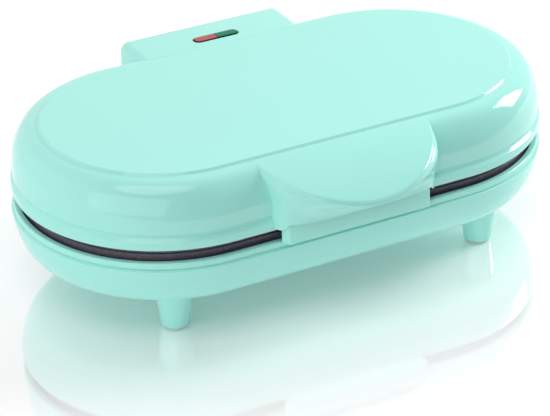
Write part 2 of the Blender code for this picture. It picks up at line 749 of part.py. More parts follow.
def add_cover_opening(shop, shell):
    recess_top = LEG_HEIGHT + COVER_RECESS
    recess = prism(
        rectangle(COVER_HALF, COVER_FRONT, COVER_REAR, COVER_CORNER), LEG_HEIGHT - OVERRUN, recess_top
    )
    opening = prism(
        rectangle(COVER_OPENING_HALF, COVER_FRONT + COVER_LAND, COVER_REAR - COVER_LAND, COVER_CORNER),
        LEG_HEIGHT - OVERRUN,
        BASE_FLOOR + OVERRUN,
    )
    for side, x in (("left", -COVER_SCREW_X), ("right", COVER_SCREW_X)):
        boss = rod(COVER_BOSS_RADIUS, BASE_FLOOR - WALL / 4, BASE_FLOOR + COVER_BOSS_HEIGHT, BOSS_STEPS)
        join(shell, shop.tool(f"cover_boss_{side}", boss, shop.base, (x, COVER_SCREW_Y, 0)))
    cut(shell, shop.tool("cover_recess", recess, shop.base))
    cut(shell, shop.tool("cover_opening", opening, shop.base))
    for side, x in (("left", -COVER_SCREW_X), ("right", COVER_SCREW_X)):
        bore = small_bore(LEG_HEIGHT - OVERRUN, cover_screw_end())
        cut(shell, shop.tool(f"cover_bore_{side}", bore, shop.base, (x, COVER_SCREW_Y, 0)))


def cover_screw_end():
    return LEG_HEIGHT + COVER_RECESS + SMALL_SCREW_GRIP


def add_wiring_bosses(shop, shell):
    """Bosses for the cord clamp and bores for the screws that hang from the rear block's ceiling"""
    clamp_top = REAR_CEILING - CLAMP_CORD_ROOM
    places = [(x, CLAMP_Y, 0) for x in (CLAMP_X - CLAMP_SCREW_X, CLAMP_X + CLAMP_SCREW_X)]
    for number, place in enumerate(places, 1):
        boss = rod(CLAMP_WIDTH / 2, clamp_top, REAR_CEILING + WALL / 2, BOSS_STEPS)
        join(shell, shop.tool(f"clamp_boss_{number}", boss, shop.base, place))
    for number, place in enumerate(places, 1):
        bore = small_bore(clamp_top - OVERRUN, clamp_top + SMALL_SCREW_GRIP)
        cut(shell, shop.tool(f"clamp_bore_{number}", bore, shop.base, place))
    bore = small_bore(REAR_CEILING - OVERRUN, REAR_CEILING + TERMINAL_SCREW_GRIP)
    cut(shell, shop.tool("terminal_bore", bore, shop.base, (TERMINAL_X, TERMINAL_Y, 0)))


# Lid shell


def lid_outside(skirt=0.0):
    """The lid's outer form; a skirt carries the bead straight down below the rim"""
    bead = [
        (0, LID_TOP),
        (PANEL_RADIUS, LID_TOP),
        (PANEL_RADIUS + PANEL_BEVEL_OUT, LID_TOP - PANEL_BEVEL_DOWN),
    ]
    shoulder = ellipse_fall(
        SHOULDER_INNER,
        SHOULDER_Z,
        SHOULDER_OUT,
        SHOULDER_TOP - SHOULDER_Z,
        SHOULDER_STEPS,
        power=SHOULDER_SQUARENESS,
    )
    cove_top = LID_RIM + BEAD_HEIGHT + COVE_HEIGHT
    foot = [
        (LID_RADIUS, cove_top),
        (LID_RADIUS - COVE_DEPTH, cove_top - COVE_HEIGHT / 3),
        (LID_RADIUS - COVE_DEPTH, LID_RIM + BEAD_HEIGHT + COVE_HEIGHT / 3),
        (BEAD_RADIUS - COVE_DEPTH, LID_RIM + BEAD_HEIGHT),
        (BEAD_RADIUS, LID_RIM + BEAD_HEIGHT - COVE_DEPTH),
        (BEAD_RADIUS, LID_RIM + BEAD_ROUND),
    ]
    if skirt:
        foot += [(BEAD_RADIUS, LID_RIM - skirt), (0, LID_RIM - skirt)]
    else:
        foot += [
            (BEAD_RADIUS - BEAD_ROUND / 4, LID_RIM + BEAD_ROUND / 3),
            (BEAD_RADIUS - BEAD_ROUND * 2 / 3, LID_RIM),
            (0, LID_RIM),
        ]
    return swept(bead + shoulder[::-1] + foot)


def lid_inside():
    """The space inside the lid, with the ledge that the upper plate bears on"""
    ledge = SEAM + LEDGE_DEPTH
    inner = LID_RADIUS - WALL
    shoulder = ellipse_fall(
        SHOULDER_INNER - WALL,
        SHOULDER_Z,
        SHOULDER_OUT,
        LID_TOP - WALL - SHOULDER_Z,
        INNER_ROUND_STEPS,
        power=SHOULDER_SQUARENESS,
    )
    foot = [
        (inner, ledge + LEDGE_HEIGHT + LEDGE_SLOPE),
        (LEDGE_INNER, ledge + LEDGE_HEIGHT),
        (LEDGE_INNER, ledge),
        (RIM_INNER, ledge),
        (RIM_INNER, LID_RIM - OVERRUN),
        (0, LID_RIM - OVERRUN),
    ]
    return swept([(0, LID_TOP - WALL)] + shoulder[::-1] + foot)


def mix(first, second, share):
    return first + (second - first) * share


def hood_outline(share, inset=0.0):
    """The hood's plan between its top edge (share 0) and its foot (1), from left to right"""
    half = mix(HOOD_TOP_HALF, HOOD_FOOT_HALF, share) - inset
    depth = mix(HOOD_TOP_HALF, HOOD_FOOT_DEPTH, share) - inset
    middle = mix(HOOD_TOP_MIDDLE, HOOD_FOOT_MIDDLE, share)
    power = 2 / mix(2, HOOD_FOOT_SQUARENESS, share)
    points = [(-half, -HOOD_BACK)]
    for step in range(HOOD_STEPS + 1):
        turn = math.pi * step / HOOD_STEPS
        side = abs(math.cos(turn)) ** power if step * 2 != HOOD_STEPS else 0
        x = -math.copysign(half * side, math.cos(turn))
        points.append((x, -middle - depth * math.sin(turn) ** power))
    points[1] = (-half, -middle)
    points[-1] = (half, -middle)
    return points + [(half, -HOOD_BACK)]


def hood_top(y):
    """Height of the hood's top face, which falls away and rolls down to the front"""
    share = max(0.0, (-y - HOOD_FALL_START) / (HANDLE_REACH - HOOD_FALL_START))
    return HOOD_TOP - HOOD_FALL * share - HOOD_ROLL * share ** 2


def curl(share):
    """How far the hood's side has drawn in at a share of its height below the edge"""
    return 1 - (1 - share) ** 3


def hood_side(share, lift=0.0, inset=0.0):
    """One ring of the hood's side"""
    ring = []
    edges = hood_outline(0)
    for (x, y), (_, edge_y) in zip(hood_outline(curl(share), inset), edges):
        top = hood_top(edge_y) - HOOD_EDGE
        ring.append((x, y, mix(top, HOOD_FOOT, share) + lift))
    return ring


def ladder_capped(rings):
    """A loft whose first ring is closed by rungs from side to side, because that face rolls"""
    bm = lofted(rings)
    bm.faces.ensure_lookup_table()
    bm.faces.remove(bm.faces[-2])
    bm.verts.ensure_lookup_table()
    loop = bm.verts[: len(rings[0])]
    last = len(loop) - 1
    for i in range(last // 2):
        rung = [loop[i], loop[i + 1], loop[last - i - 1], loop[last - i]]
        if i + 1 == last - i - 1:
            rung.pop(2)
        bm.faces.new(rung)
    return mesh_object(bm)


def hood():
    """The handle's outer form: a flat disc on top, rolled over, drawn in under its edge to a skirt"""
    rings = []
    for step in range(HOOD_EDGE_STEPS + 1):
        turn = math.pi / 2 * step / HOOD_EDGE_STEPS
        inset = HOOD_EDGE * (1 - math.sin(turn))
        drop = HOOD_EDGE * (1 - math.cos(turn))
        rings.append([(x, y, hood_top(y) - drop) for x, y in hood_outline(0, inset)])
    rings.extend(hood_side(share) for share in HOOD_SIDE_shares)
    return ladder_capped(rings)


def hood_space():
    """The hollow of the hood, open below"""
    top_share = POCKET_CURL_share
    rings = [[(x, y, hood_top(y) - HOOD_WALL) for x, y in hood_outline(top_share, HOOD_WALL)]]
    for share in (top_share, POCKET_BEND_share):
        height = 1 - (1 - share) ** (1 / 3)
        rings.append(hood_side(height, HOOD_WALL / 2, HOOD_WALL))
    rings.append([(x, y, HOOD_FOOT - OVERRUN) for x, y in hood_outline(1, HOOD_WALL)])
    return ladder_capped(rings)


def arch():
    """The raised middle of the skirt's lower edge, as a profile led from front to back"""
    top = TAB_TOP + ARCH_CLEARANCE
    bottom = HOOD_FOOT - OVERRUN
    flare = ARCH_SPREAD * (top - bottom) / (top - HOOD_FOOT)
    corners = [(-ARCH_HALF - flare, bottom), (ARCH_HALF + flare, bottom), (ARCH_HALF, top), (-ARCH_HALF, top)]
    outline = corners[:2] + round_cornered(corners, ARCH_ROUND)[-2 * (CORNER_STEPS + 1) :]
    ends = (-HANDLE_REACH - OVERRUN, -TAB_BACK)
    return mesh_object(lofted([[(x, y, z) for x, z in outline] for y in ends]))


def tab_relief():
    """Room for the tab inside the hood's foot"""
    top = TAB_TOP + ARCH_CLEARANCE - FIT
    place = (TAB_FRONT + RUN, TAB_HALF + RUN, TAB_BACK_HALF + RUN, TAB_BACK - RUN)
    return mesh_object(lofted([tab_ring(z, *place) for z in (HOOD_FOOT - OVERRUN, top)]))


def lid_rear_block():
    bm = box((-BLOCK_HALF, BLOCK_START, BLOCK_BOTTOM), (BLOCK_HALF, HINGE_REACH, BLOCK_TOP))
    for vert in bm.verts:
        if vert.co.z > BLOCK_BOTTOM + WALL:
            vert.co.x = math.copysign(BLOCK_TOP_HALF, vert.co.x)
            vert.co.y = min(vert.co.y, BLOCK_TOP_REAR)

    def outer_edge(middle, along):
        if middle.y < BLOCK_START + WALL:
            return False
        return abs(along.z) > ALONG_share or middle.z > BLOCK_TOP - WALL

    return mesh_object(rounded(bm, BLOCK_EDGE, BLOCK_STEPS, outer_edge))


def hinge_cheek(side):
    """A lug of the lid beside the barrel, round about the hinge axis"""
    x = sorted((side * CHEEK_INNER, side * CHEEK_OUTER))
    top = BLOCK_BOTTOM + WALL
    outline = [(HINGE_REACH, top), (HINGE_Y - BARREL_RADIUS, top)]
    for step in range(CHEEK_STEPS + 1):
        turn = math.pi * (1 + step / CHEEK_STEPS)
        outline.append((HINGE_Y + BARREL_RADIUS * math.cos(turn), HINGE_Z + BARREL_RADIUS * math.sin(turn)))
    return mesh_object(lofted([[(end, y, z) for y, z in outline] for end in x]))


def make_lid_shell(shop):
    shell = shop.piece("lid_shell", lid_outside(), "mint", shop.lid)
    across = (0, math.pi / 2, 0)
    join(shell, shop.tool("hood", hood(), shop.lid))
    join(shell, shop.tool("lid_rear_block", lid_rear_block(), shop.lid))
    for name, side in (("left", -1), ("right", 1)):
        join(shell, shop.tool(f"hinge_cheek_{name}", hinge_cheek(side), shop.lid))
    cut(shell, shop.tool("lid_space", lid_inside(), shop.lid))
    space = shop.tool("hood_space", hood_space(), shop.lid)
    guard = shop.tool("lid_wall_guard", lid_outside(2 * OVERRUN), shop.lid)
    guard.scale = (1 + FIT / BODY_RADIUS, 1 + FIT / BODY_RADIUS, 1)
    cut(space, guard)
    cut(shell, space)
    cut(shell, shop.tool("skirt_arch", arch(), shop.lid))
    cut(shell, shop.tool("tab_relief", tab_relief(), shop.lid))
    add_lamp_space(shop, shell)
    pocket_half = CHEEK_INNER - POCKET_STEP
    pocket = box(
        (-pocket_half, POCKET_FRONT, HINGE_Z - BARREL_RADIUS),
        (pocket_half, BLOCK_TOP_REAR - BLOCK_WALL / 2, POCKET_CEILING),
    )
    cut(shell, shop.tool("hinge_pocket", mesh_object(pocket), shop.lid))
    for name, side in (("left", -1), ("right", 1)):
        place = (side * CHEEK_OUTER, HINGE_Y, HINGE_Z)
        bore = rod(PIN_RADIUS + FIT, -CHEEK_THICKNESS - OVERRUN / 2, CHEEK_THICKNESS + OVERRUN / 2)
        depth = PIN_HEAD_HEIGHT + PIN_SINK + FIT
        sink = rod(PIN_HEAD + FIT, -depth, depth)
        cut(shell, shop.tool(f"cheek_bore_{name}", bore, shop.lid, place, across))
        cut(shell, shop.tool(f"cheek_sink_{name}", sink, shop.lid, place, across))
    add_plate_bosses(shop, shell, shop.lid, 1)
    return shell


def add_lamp_space(shop, shell):
    """The room under the lens, the slot for the lens and the bosses of the lamp holder"""
    half = BLOCK_TOP_HALF - BLOCK_WALL
    room = box((-half, BLOCK_START, LAMP_FLOOR), (half, BLOCK_TOP_REAR - BLOCK_WALL, LAMP_CEILING))
    cut(shell, shop.tool("lamp_room", mesh_object(room), shop.lid))
    slot = prism(
        rectangle(LENS_LENGTH / 2, -LENS_WIDTH / 2, LENS_WIDTH / 2, LENS_CORNER),
        LAMP_CEILING - OVERRUN,
        BLOCK_TOP + OVERRUN,
    )
    cut(shell, shop.tool("lens_slot", slot, shop.lid, (LENS_X, LENS_Y, 0)))
    for number, x in enumerate(holder_screws(), 1):
        boss = rod(HOLDER_BOSS_RADIUS, HOLDER_TOP + FIT, LAMP_CEILING + WALL / 2, BOSS_STEPS)
        join(shell, shop.tool(f"holder_boss_{number}", boss, shop.lid, (x, LENS_Y, 0)))
    for number, x in enumerate(holder_screws(), 1):
        start = HOLDER_TOP + FIT
        bore = small_bore(start - OVERRUN, start + SMALL_SCREW_GRIP)
        cut(shell, shop.tool(f"holder_bore_{number}", bore, shop.lid, (x, LENS_Y, 0)))


def holder_screws():
    return (-HOLDER_SCREW_X, HOLDER_SCREW_X)


# Waffle plates


def level(side, depth):
    """Height of a depth behind the seam, in the base (side -1) or in the lid (side 1)"""
    return SEAM + side * depth


def heart_outline(grow=0.0):
    """One heart with its tip towards the rosette's middle, (along, across) its axis"""
    radius = HEART_LOBE_RADIUS + grow
    reach = math.hypot(HEART_LOBE_OUT - HEART_TIP, HEART_LOBE_SIDE)
    flare = math.atan2(HEART_LOBE_SIDE, HEART_LOBE_OUT - HEART_TIP) + math.asin(HEART_LOBE_RADIUS / reach)
    cleft = math.acos(HEART_LOBE_SIDE / radius) - math.pi / 2
    start = flare + math.pi / 2
    lobe = []
    for step in range(LOBE_STEPS + 1):
        turn = mix(start, cleft, step / LOBE_STEPS)
        along = HEART_LOBE_OUT + radius * math.cos(turn)
        lobe.append((along, HEART_LOBE_SIDE + radius * math.sin(turn)))
    lobe[-1] = (lobe[-1][0], 0.0)
    tip = (HEART_TIP - grow / math.sin(flare), 0.0)
    return [tip] + lobe + [(along, -across) for along, across in reversed(lobe[:-1])]


def heart_holds(along, across):
    """Whether a point lies on a heart's floor with the pegs' margin round it"""
    shrink = HEART_DRAFT + PEG_MARGIN
    reach = math.hypot(HEART_LOBE_OUT - HEART_TIP, HEART_LOBE_SIDE)
    flare = math.atan2(HEART_LOBE_SIDE, HEART_LOBE_OUT - HEART_TIP) + math.asin(HEART_LOBE_RADIUS / reach)
    side = (along - HEART_TIP) * math.sin(flare) - abs(across) * math.cos(flare)
    in_wedge = side >= shrink and along <= HEART_LOBE_OUT
    lobe = math.hypot(along - HEART_LOBE_OUT, abs(across) - HEART_LOBE_SIDE)
    return in_wedge or lobe <= HEART_LOBE_RADIUS - shrink


def flower_outline():
    """The scalloped outline round the five hearts, made of arcs about the lobes' centres"""
    radius = HEART_LOBE_RADIUS + FLOWER_GROW
    lobe_angle = math.atan2(HEART_LOBE_SIDE, HEART_LOBE_OUT)
    lobe_reach = math.hypot(HEART_LOBE_SIDE, HEART_LOBE_OUT)
    cleft_turn = math.acos(HEART_LOBE_SIDE / radius)
    half_gap = lobe_reach * math.sin(math.pi / HEARTS - lobe_angle)
    gap_turn = math.acos(min(1.0, half_gap / radius))
    outline = []
    for heart in range(HEARTS):
        axis = heart_angle(heart)
        for side in (-1, 1):
            centre_angle = axis + side * lobe_angle
            towards_cleft = axis - side * (math.pi / 2 - cleft_turn)
            towards_gap = axis + side * (math.pi / HEARTS + math.pi / 2 - gap_turn)
            ends = (towards_gap, towards_cleft) if side < 0 else (towards_cleft, towards_gap)
            for step in range(FLOWER_STEPS):
                turn = mix(*ends, step / FLOWER_STEPS)
                x = lobe_reach * math.cos(centre_angle) + radius * math.cos(turn)
                outline.append((x, lobe_reach * math.sin(centre_angle) + radius * math.sin(turn)))
    return outline


def heart_angle(heart):
    return math.pi / 2 + heart * 2 * math.pi / HEARTS


def turned_outline(outline, angle, x):
    """An outline turned about a rosette's middle at x"""
    cosine, sine = math.cos(angle), math.sin(angle)
    return [(x + u * cosine - v * sine, u * sine + v * cosine) for u, v in outline]


def merged(bms):
    """Several separate solids in one object"""
    whole = bmesh.new()
    for bm in bms:
        scrap = bpy.data.meshes.new("scrap")
        bm.to_mesh(scrap)
        bm.free()
        whole.from_mesh(scrap)
        bpy.data.meshes.remove(scrap)
    return mesh_object(whole)


def rosette_places():
    return [(x, heart) for x in (-HALF_STRAIGHT, HALF_STRAIGHT) for heart in range(HEARTS)]


def heart_cutters(side):
    floor = level(side, PLATE_FACE + HEART_DEPTH)
    face = level(side, PLATE_FACE)
    beyond = level(side, -OVERRUN)
    solids = []
    for x, heart in rosette_places():
        rings = []
        for z, grow in ((floor, -HEART_DRAFT), (face, 0.0), (beyond, 0.0)):
            outline = turned_outline(heart_outline(grow), heart_angle(heart), x)
            rings.append([(px, py, z) for px, py in outline])
        solids.append(lofted(rings))
    return merged(solids)


def flower_cutters(side):
    heights = (level(side, PLATE_FACE + FLOWER_DEPTH), level(side, -OVERRUN))
    solids = []
    for x in (-HALF_STRAIGHT, HALF_STRAIGHT):
        outline = turned_outline(flower_outline(), 0, x)
        solids.append(lofted([[(px, py, z) for px, py in outline] for z in heights]))
    return merged(solids)


def peg_places():
    """Centres of the pegs of one heart, along and across its axis"""
    half = PEG_BASE / 2
    for row in range(PEG_ROWS):
        along = PEG_FIRST + row * PEG_PITCH
        for column in range(-PEG_COLUMNS, PEG_COLUMNS + 1):
            across = column * PEG_PITCH
            corners = [(along + i * half, across + j * half) for i in (-1, 1) for j in (-1, 1)]
            if all(heart_holds(*corner) for corner in corners):
                yield along, across


def pegs(side):
    """Square pegs that taper towards the seam, their feet sunk in the hearts' floors"""
    foot = level(side, PLATE_FACE + HEART_DEPTH + OVERRUN / 3)
    head = level(side, PLATE_FACE + PEG_DROP)
    solids = []
    for x, heart in rosette_places():
        for along, across in peg_places():
            rings = []
            for z, size in ((foot, PEG_BASE), (head, PEG_TOP)):
                square = [
                    (along + i * size / 2, across + j * size / 2)
                    for i, j in ((-1, -1), (1, -1), (1, 1), (-1, 1))
                ]
                outline = turned_outline(square, heart_angle(heart), x)
                rings.append([(px, py, z) for px, py in outline])
            solids.append(lofted(rings))
    return merged(solids)


def plate_blank(side):
    depths = [
        (0, PLATE_FACE),
        (PLATE_RADIUS - PLATE_CHAMFER, PLATE_FACE),
        (PLATE_RADIUS, PLATE_FACE + PLATE_CHAMFER),
        (PLATE_RADIUS, PLATE_SEAT),
        (NECK_RADIUS, PLATE_SEAT),
        (NECK_RADIUS, PLATE_BACK),
        (0, PLATE_BACK),
    ]
    return swept([(out, level(side, depth)) for out, depth in depths])


def back_pocket(shop, frame, side, name):
    """The hollow behind the plate, round the solid pads of the rosettes and the screw bosses"""
    radius = NECK_RADIUS - BACK_RIB
    ends = [level(side, PLATE_BACK + OVERRUN), level(side, PLATE_BACK - BACK_POCKET_DEPTH)]
    pocket = swept([(0, ends[0]), (radius, ends[0]), (radius, ends[1]), (0, ends[1])])
    pocket = shop.tool(f"{name}_back_pocket", pocket, frame)
    low, high = min(ends) - OVERRUN, max(ends) + OVERRUN
    for mark, x in (("left", -HALF_STRAIGHT), ("right", HALF_STRAIGHT)):
        cut(pocket, shop.tool(f"{name}_pad_{mark}", rod(BACK_PAD_RADIUS, low, high, PAD_STEPS), frame, (x, 0, 0)))
    for number, y in enumerate((-SCREW_PLACE, SCREW_PLACE), 1):
        boss = rod(BOSS_RADIUS, low, high, BOSS_STEPS)
        cut(pocket, shop.tool(f"{name}_plate_boss_{number}", boss, frame, (0, y, 0)))
    return pocket


def make_plate(shop, frame, side, name):
    plate = shop.piece(f"{name}_plate", plate_blank(side), "coating", frame)
    cut(plate, shop.tool(f"{name}_flowers", flower_cutters(side), frame))
    cut(plate, shop.tool(f"{name}_hearts", heart_cutters(side), frame))
    join(plate, shop.tool(f"{name}_pegs", pegs(side), frame))
    cut(plate, back_pocket(shop, frame, side, name))
    for number, y in enumerate((-SCREW_PLACE, SCREW_PLACE), 1):
        hole = screw_room(side)
        cut(plate, shop.tool(f"{name}_plate_hole_{number}", hole, frame, (0, y, 0)))


def screw_profile(side, room):
    """Depth profile of a countersunk plate screw, or of the room that it needs"""
    top = -OVERRUN if room else PLATE_FACE + SCREW_SINK
    end = SHIELD_BACK + OVERRUN if room else BOSS_TOP + SCREW_GRIP
    shank = SCREW_RADIUS + (FIT if room else 0)
    head = SCREW_HEAD + (FIT if room else 0)
    seat = PLATE_FACE + SCREW_SINK + SCREW_HEAD_HEIGHT / 3
    depths = [(0, top), (head, top), (head, seat), (shank, seat + SCREW_HEAD_HEIGHT), (shank, end), (0, end)]
    points = [(out, level(side, depth)) for out, depth in depths]
    return points if side < 0 else points[::-1]


def screw_room(side):
    return turned(screw_profile(side, True), BOSS_STEPS)


def make_plate_screws(shop, frame, side, name):
    for number, y in enumerate((-SCREW_PLACE, SCREW_PLACE), 1):
        screw = turned(screw_profile(side, False), BOSS_STEPS)
        shop.piece(f"{name}_plate_screw_{number}", screw, "steel", frame, (0, y, 0))


def element_route():
    """The loop of the heating tube, with both ends turned to the back"""
    loop = ELEMENT_LOOP_RADIUS
    end = loop + ELEMENT_BEND + ELEMENT_LEG
    half = [(ELEMENT_GAP, end)]
    for step in range(ELEMENT_BEND_STEPS + 1):
        turn = math.pi + math.pi / 2 * step / ELEMENT_BEND_STEPS
        x = ELEMENT_GAP + ELEMENT_BEND + ELEMENT_BEND * math.cos(turn)
        half.append((x, loop + ELEMENT_BEND + ELEMENT_BEND * math.sin(turn)))
    for step in range(ELEMENT_STEPS + 1):
        turn = math.pi / 2 - math.pi * step / ELEMENT_STEPS
        half.append((HALF_STRAIGHT + loop * math.cos(turn), loop * math.sin(turn)))
    return half + [(-x, y) for x, y in reversed(half)]


def make_element(shop, frame, side, name):
    route = element_route()
    pin_ends = [(x, y + ELEMENT_PIN) for x, y in (route[0], route[-1])]
    pin_starts = [(x, y + ELEMENT_RADIUS / 4) for x, y in (route[0], route[-1])]
    route = [pin_ends[0], pin_starts[0]] + route + [pin_starts[1], pin_ends[1]]
    curve = bpy.data.curves.new(f"{name}_element", "CURVE")
    curve.dimensions = "3D"
    curve.bevel_depth = ELEMENT_RADIUS
    curve.bevel_resolution = ELEMENT_FACETS
    curve.use_fill_caps = True
    spline = curve.splines.new("POLY")
    spline.points.add(len(route) - 1)
    for i, (x, y) in enumerate(route):
        spline.points[i].co = (x, y, level(side, ELEMENT_DEPTH), 1)
        is_pin = i < 2 or i > len(route) - 3
        spline.points[i].radius = ELEMENT_PIN_share if is_pin else 1
    obj = bpy.data.objects.new(name, curve)
    shop.piece(f"{name}_heating_element", obj, "steel", frame)


def make_shield(shop, frame, side, name):
    rim = PLATE_BACK + FIT
    depths = [
        (0, SHIELD_FLOOR),
        (SHIELD_RADIUS - SHIELD_SHEET, SHIELD_FLOOR),
        (SHIELD_RADIUS - SHIELD_SHEET, rim),
        (SHIELD_RADIUS, rim),
        (SHIELD_RADIUS, SHIELD_BACK),
        (0, SHIELD_BACK),
    ]
    tray = swept([(out, level(side, depth)) for out, depth in depths])
    tray = shop.piece(f"{name}_heat_shield", tray, "sheet", frame)
    ends = sorted((level(side, SHIELD_FLOOR - OVERRUN), level(side, SHIELD_BACK + OVERRUN)))
    for number, y in enumerate((-SCREW_PLACE, SCREW_PLACE), 1):
        hole = rod(SCREW_RADIUS + FIT, *ends, BORE_STEPS)
        cut(tray, shop.tool(f"{name}_shield_hole_{number}", hole, frame, (0, y, 0)))


# Small parts of the base


def make_foot_pads(shop):
    edge = PAD_RADIUS - PAD_EDGE
    profile = [(0, PAD_HEIGHT), (PAD_RADIUS, PAD_HEIGHT), (PAD_RADIUS, PAD_EDGE), (edge, 0), (0, 0)]
    for number, (x, y) in enumerate(leg_places(), 1):
        shop.piece(f"foot_pad_{number}", turned(profile), "rubber", shop.base, (x, y, 0))


def make_hinge_pins(shop):
    for name, side in (("left", -1), ("right", 1)):
        head = CHEEK_OUTER - PIN_SINK
        neck = head - PIN_HEAD_HEIGHT
        end = BARREL_HALF - PIN_DEPTH
        profile = [(0, head), (PIN_HEAD, head), (PIN_HEAD, neck), (PIN_RADIUS, neck), (PIN_RADIUS, end), (0, end)]
        place = (0, HINGE_Y, HINGE_Z)
        shop.piece(f"hinge_pin_{name}", turned(profile), "steel", shop.base, place, (0, side * math.pi / 2, 0))


def small_screw(seat, end):
    """A pan-head screw, its head below the seat and its shank going up to the end"""
    head = seat - SMALL_SCREW_HEAD_HEIGHT
    return turned(
        [
            (0, end),
            (SMALL_SCREW_RADIUS, end),
            (SMALL_SCREW_RADIUS, seat),
            (SMALL_SCREW_HEAD, seat),
            (SMALL_SCREW_HEAD, head + SMALL_SCREW_HEAD_HEIGHT / 3),
            (SMALL_SCREW_HEAD * 2 / 3, head),
            (0, head),
        ],
        BORE_STEPS,
    )


def make_thermostat(shop):
    top = level(-1, PLATE_BACK + FIT)
    bottom = level(-1, SHIELD_FLOOR - FIT)
    flange = top - THERMOSTAT_FLANGE
    disc = turned(
        [
            (0, top),
            (THERMOSTAT_RADIUS, top),
            (THERMOSTAT_RADIUS, flange),
            (THERMOSTAT_CAP, flange),
            (THERMOSTAT_CAP, bottom),
            (0, bottom),
        ]
    )
    shop.piece("thermostat", disc, "black", shop.base, (THERMOSTAT_X, 0, 0))


def make_thermal_fuse(shop):
    half = FUSE_LENGTH / 2
    end = half + FUSE_LEAD
    body = turned(
        [
            (0, end),
            (FUSE_LEAD_RADIUS, end),
            (FUSE_LEAD_RADIUS, half),
            (FUSE_RADIUS, half),
            (FUSE_RADIUS, -half),
            (FUSE_LEAD_RADIUS, -half),
            (FUSE_LEAD_RADIUS, -end),
            (0, -end),
        ],
        BORE_STEPS,
    )
    place = (FUSE_X, 0, level(-1, PLATE_BACK + FIT + FUSE_RADIUS))
    shop.piece("thermal_fuse", body, "steel", shop.base, place, (0, math.pi / 2, 0))


def make_terminal_block(shop):
    top = REAR_CEILING - FIT
    bottom = top - TERMINAL_HEIGHT
    outline = rectangle(TERMINAL_LENGTH / 2, -TERMINAL_WIDTH / 2, TERMINAL_WIDTH / 2, COVER_CORNER / 2)
    place = (TERMINAL_X, TERMINAL_Y, 0)
    block = shop.piece("terminal_block", prism(outline, bottom, top), "ceramic", shop.base, place)
    bore = small_bore(bottom - OVERRUN, top + OVERRUN)
    cut(block, shop.tool("terminal_block_bore", bore, shop.base, place))
    screw = small_screw(bottom - FIT, REAR_CEILING + TERMINAL_SCREW_GRIP)
    shop.piece("terminal_block_screw", screw, "steel", shop.base, place)
    for number, x in enumerate((TERMINAL_X - TERMINAL_SCREW_X, TERMINAL_X + TERMINAL_SCREW_X), 1):
        spot = (x, TERMINAL_Y, 0)
        end = bottom + TERMINAL_SCREW_GRIP
        hole = small_bore(bottom - OVERRUN, end)
        cut(block, shop.tool(f"terminal_hole_{number}", hole, shop.base, spot))
        shop.piece(f"terminal_screw_{number}", small_screw(bottom - FIT, end), "steel", shop.base, spot)


def make_cord_clamp(shop):
    top = REAR_CEILING - CLAMP_CORD_ROOM - FIT
    bottom = top - CLAMP_HEIGHT
    outline = rectangle(CLAMP_LENGTH / 2, -CLAMP_WIDTH / 2, CLAMP_WIDTH / 2, COVER_CORNER / 2)
    place = (CLAMP_X, CLAMP_Y, 0)
    clamp = shop.piece("cord_clamp", prism(outline, bottom, top), "black", shop.base, place)
    for number, x in enumerate((CLAMP_X - CLAMP_SCREW_X, CLAMP_X + CLAMP_SCREW_X), 1):
        spot = (x, CLAMP_Y, 0)
        hole = small_bore(bottom - OVERRUN, top + OVERRUN)
        cut(clamp, shop.tool(f"clamp_hole_{number}", hole, shop.base, spot))
        screw = small_screw(bottom - FIT, REAR_CEILING - CLAMP_CORD_ROOM + SMALL_SCREW_GRIP)
        shop.piece(f"cord_clamp_screw_{number}", screw, "steel", shop.base, spot)


def make_cord_bush(shop):
    """The bush in the rear wall: a flange outside, a grooved neck through the wall, and a bore"""
    outer = FIT + BUSH_FLANGE - BUSH_RECESS
    inner = FIT - BUSH_RECESS
    end = outer - BUSH_LENGTH
    body = turned(
        [
            (BUSH_BORE_RADIUS, outer),
            (BUSH_FLANGE_RADIUS, outer),
            (BUSH_FLANGE_RADIUS, inner),
            (BUSH_NECK_RADIUS, inner),
            (BUSH_NECK_RADIUS, end),
            (BUSH_BORE_RADIUS, end),
            (BUSH_BORE_RADIUS, outer),
        ]
    )
    place = (CLAMP_X, REAR_FACE, BUSH_Z)
    shop.piece("cord_bush", body, "black", shop.base, place, (-math.pi / 2, 0, 0))


def make_wiring_cover(shop):
    top = LEG_HEIGHT + COVER_RECESS - FIT
    outline = rectangle(COVER_HALF - FIT, COVER_FRONT + FIT, COVER_REAR - FIT, COVER_CORNER - FIT)
    cover = shop.piece("wiring_cover", prism(outline, LEG_HEIGHT - FIT, top), "mint", shop.base)
    for number, x in enumerate((-COVER_SCREW_X, COVER_SCREW_X), 1):
        spot = (x, COVER_SCREW_Y, 0)
        hole = small_bore(LEG_HEIGHT - OVERRUN, top + OVERRUN)
        cut(cover, shop.tool(f"cover_hole_{number}", hole, shop.base, spot))
        screw = small_screw(LEG_HEIGHT - 2 * FIT, cover_screw_end())
        shop.piece(f"wiring_cover_screw_{number}", screw, "steel", shop.base, spot)


# Small parts of the lid


def half_lens(side, outer, width):
    """Half of the lens in plan, square at the middle and rounded at its outer end"""
    outline = [(x, y) for x, y in rectangle(outer, -width, width, LENS_CORNER - FIT) if x > 0]
    outline += [(FIT / 2, width), (FIT / 2, -width)]
    return [(side * x, y) for x, y in outline]


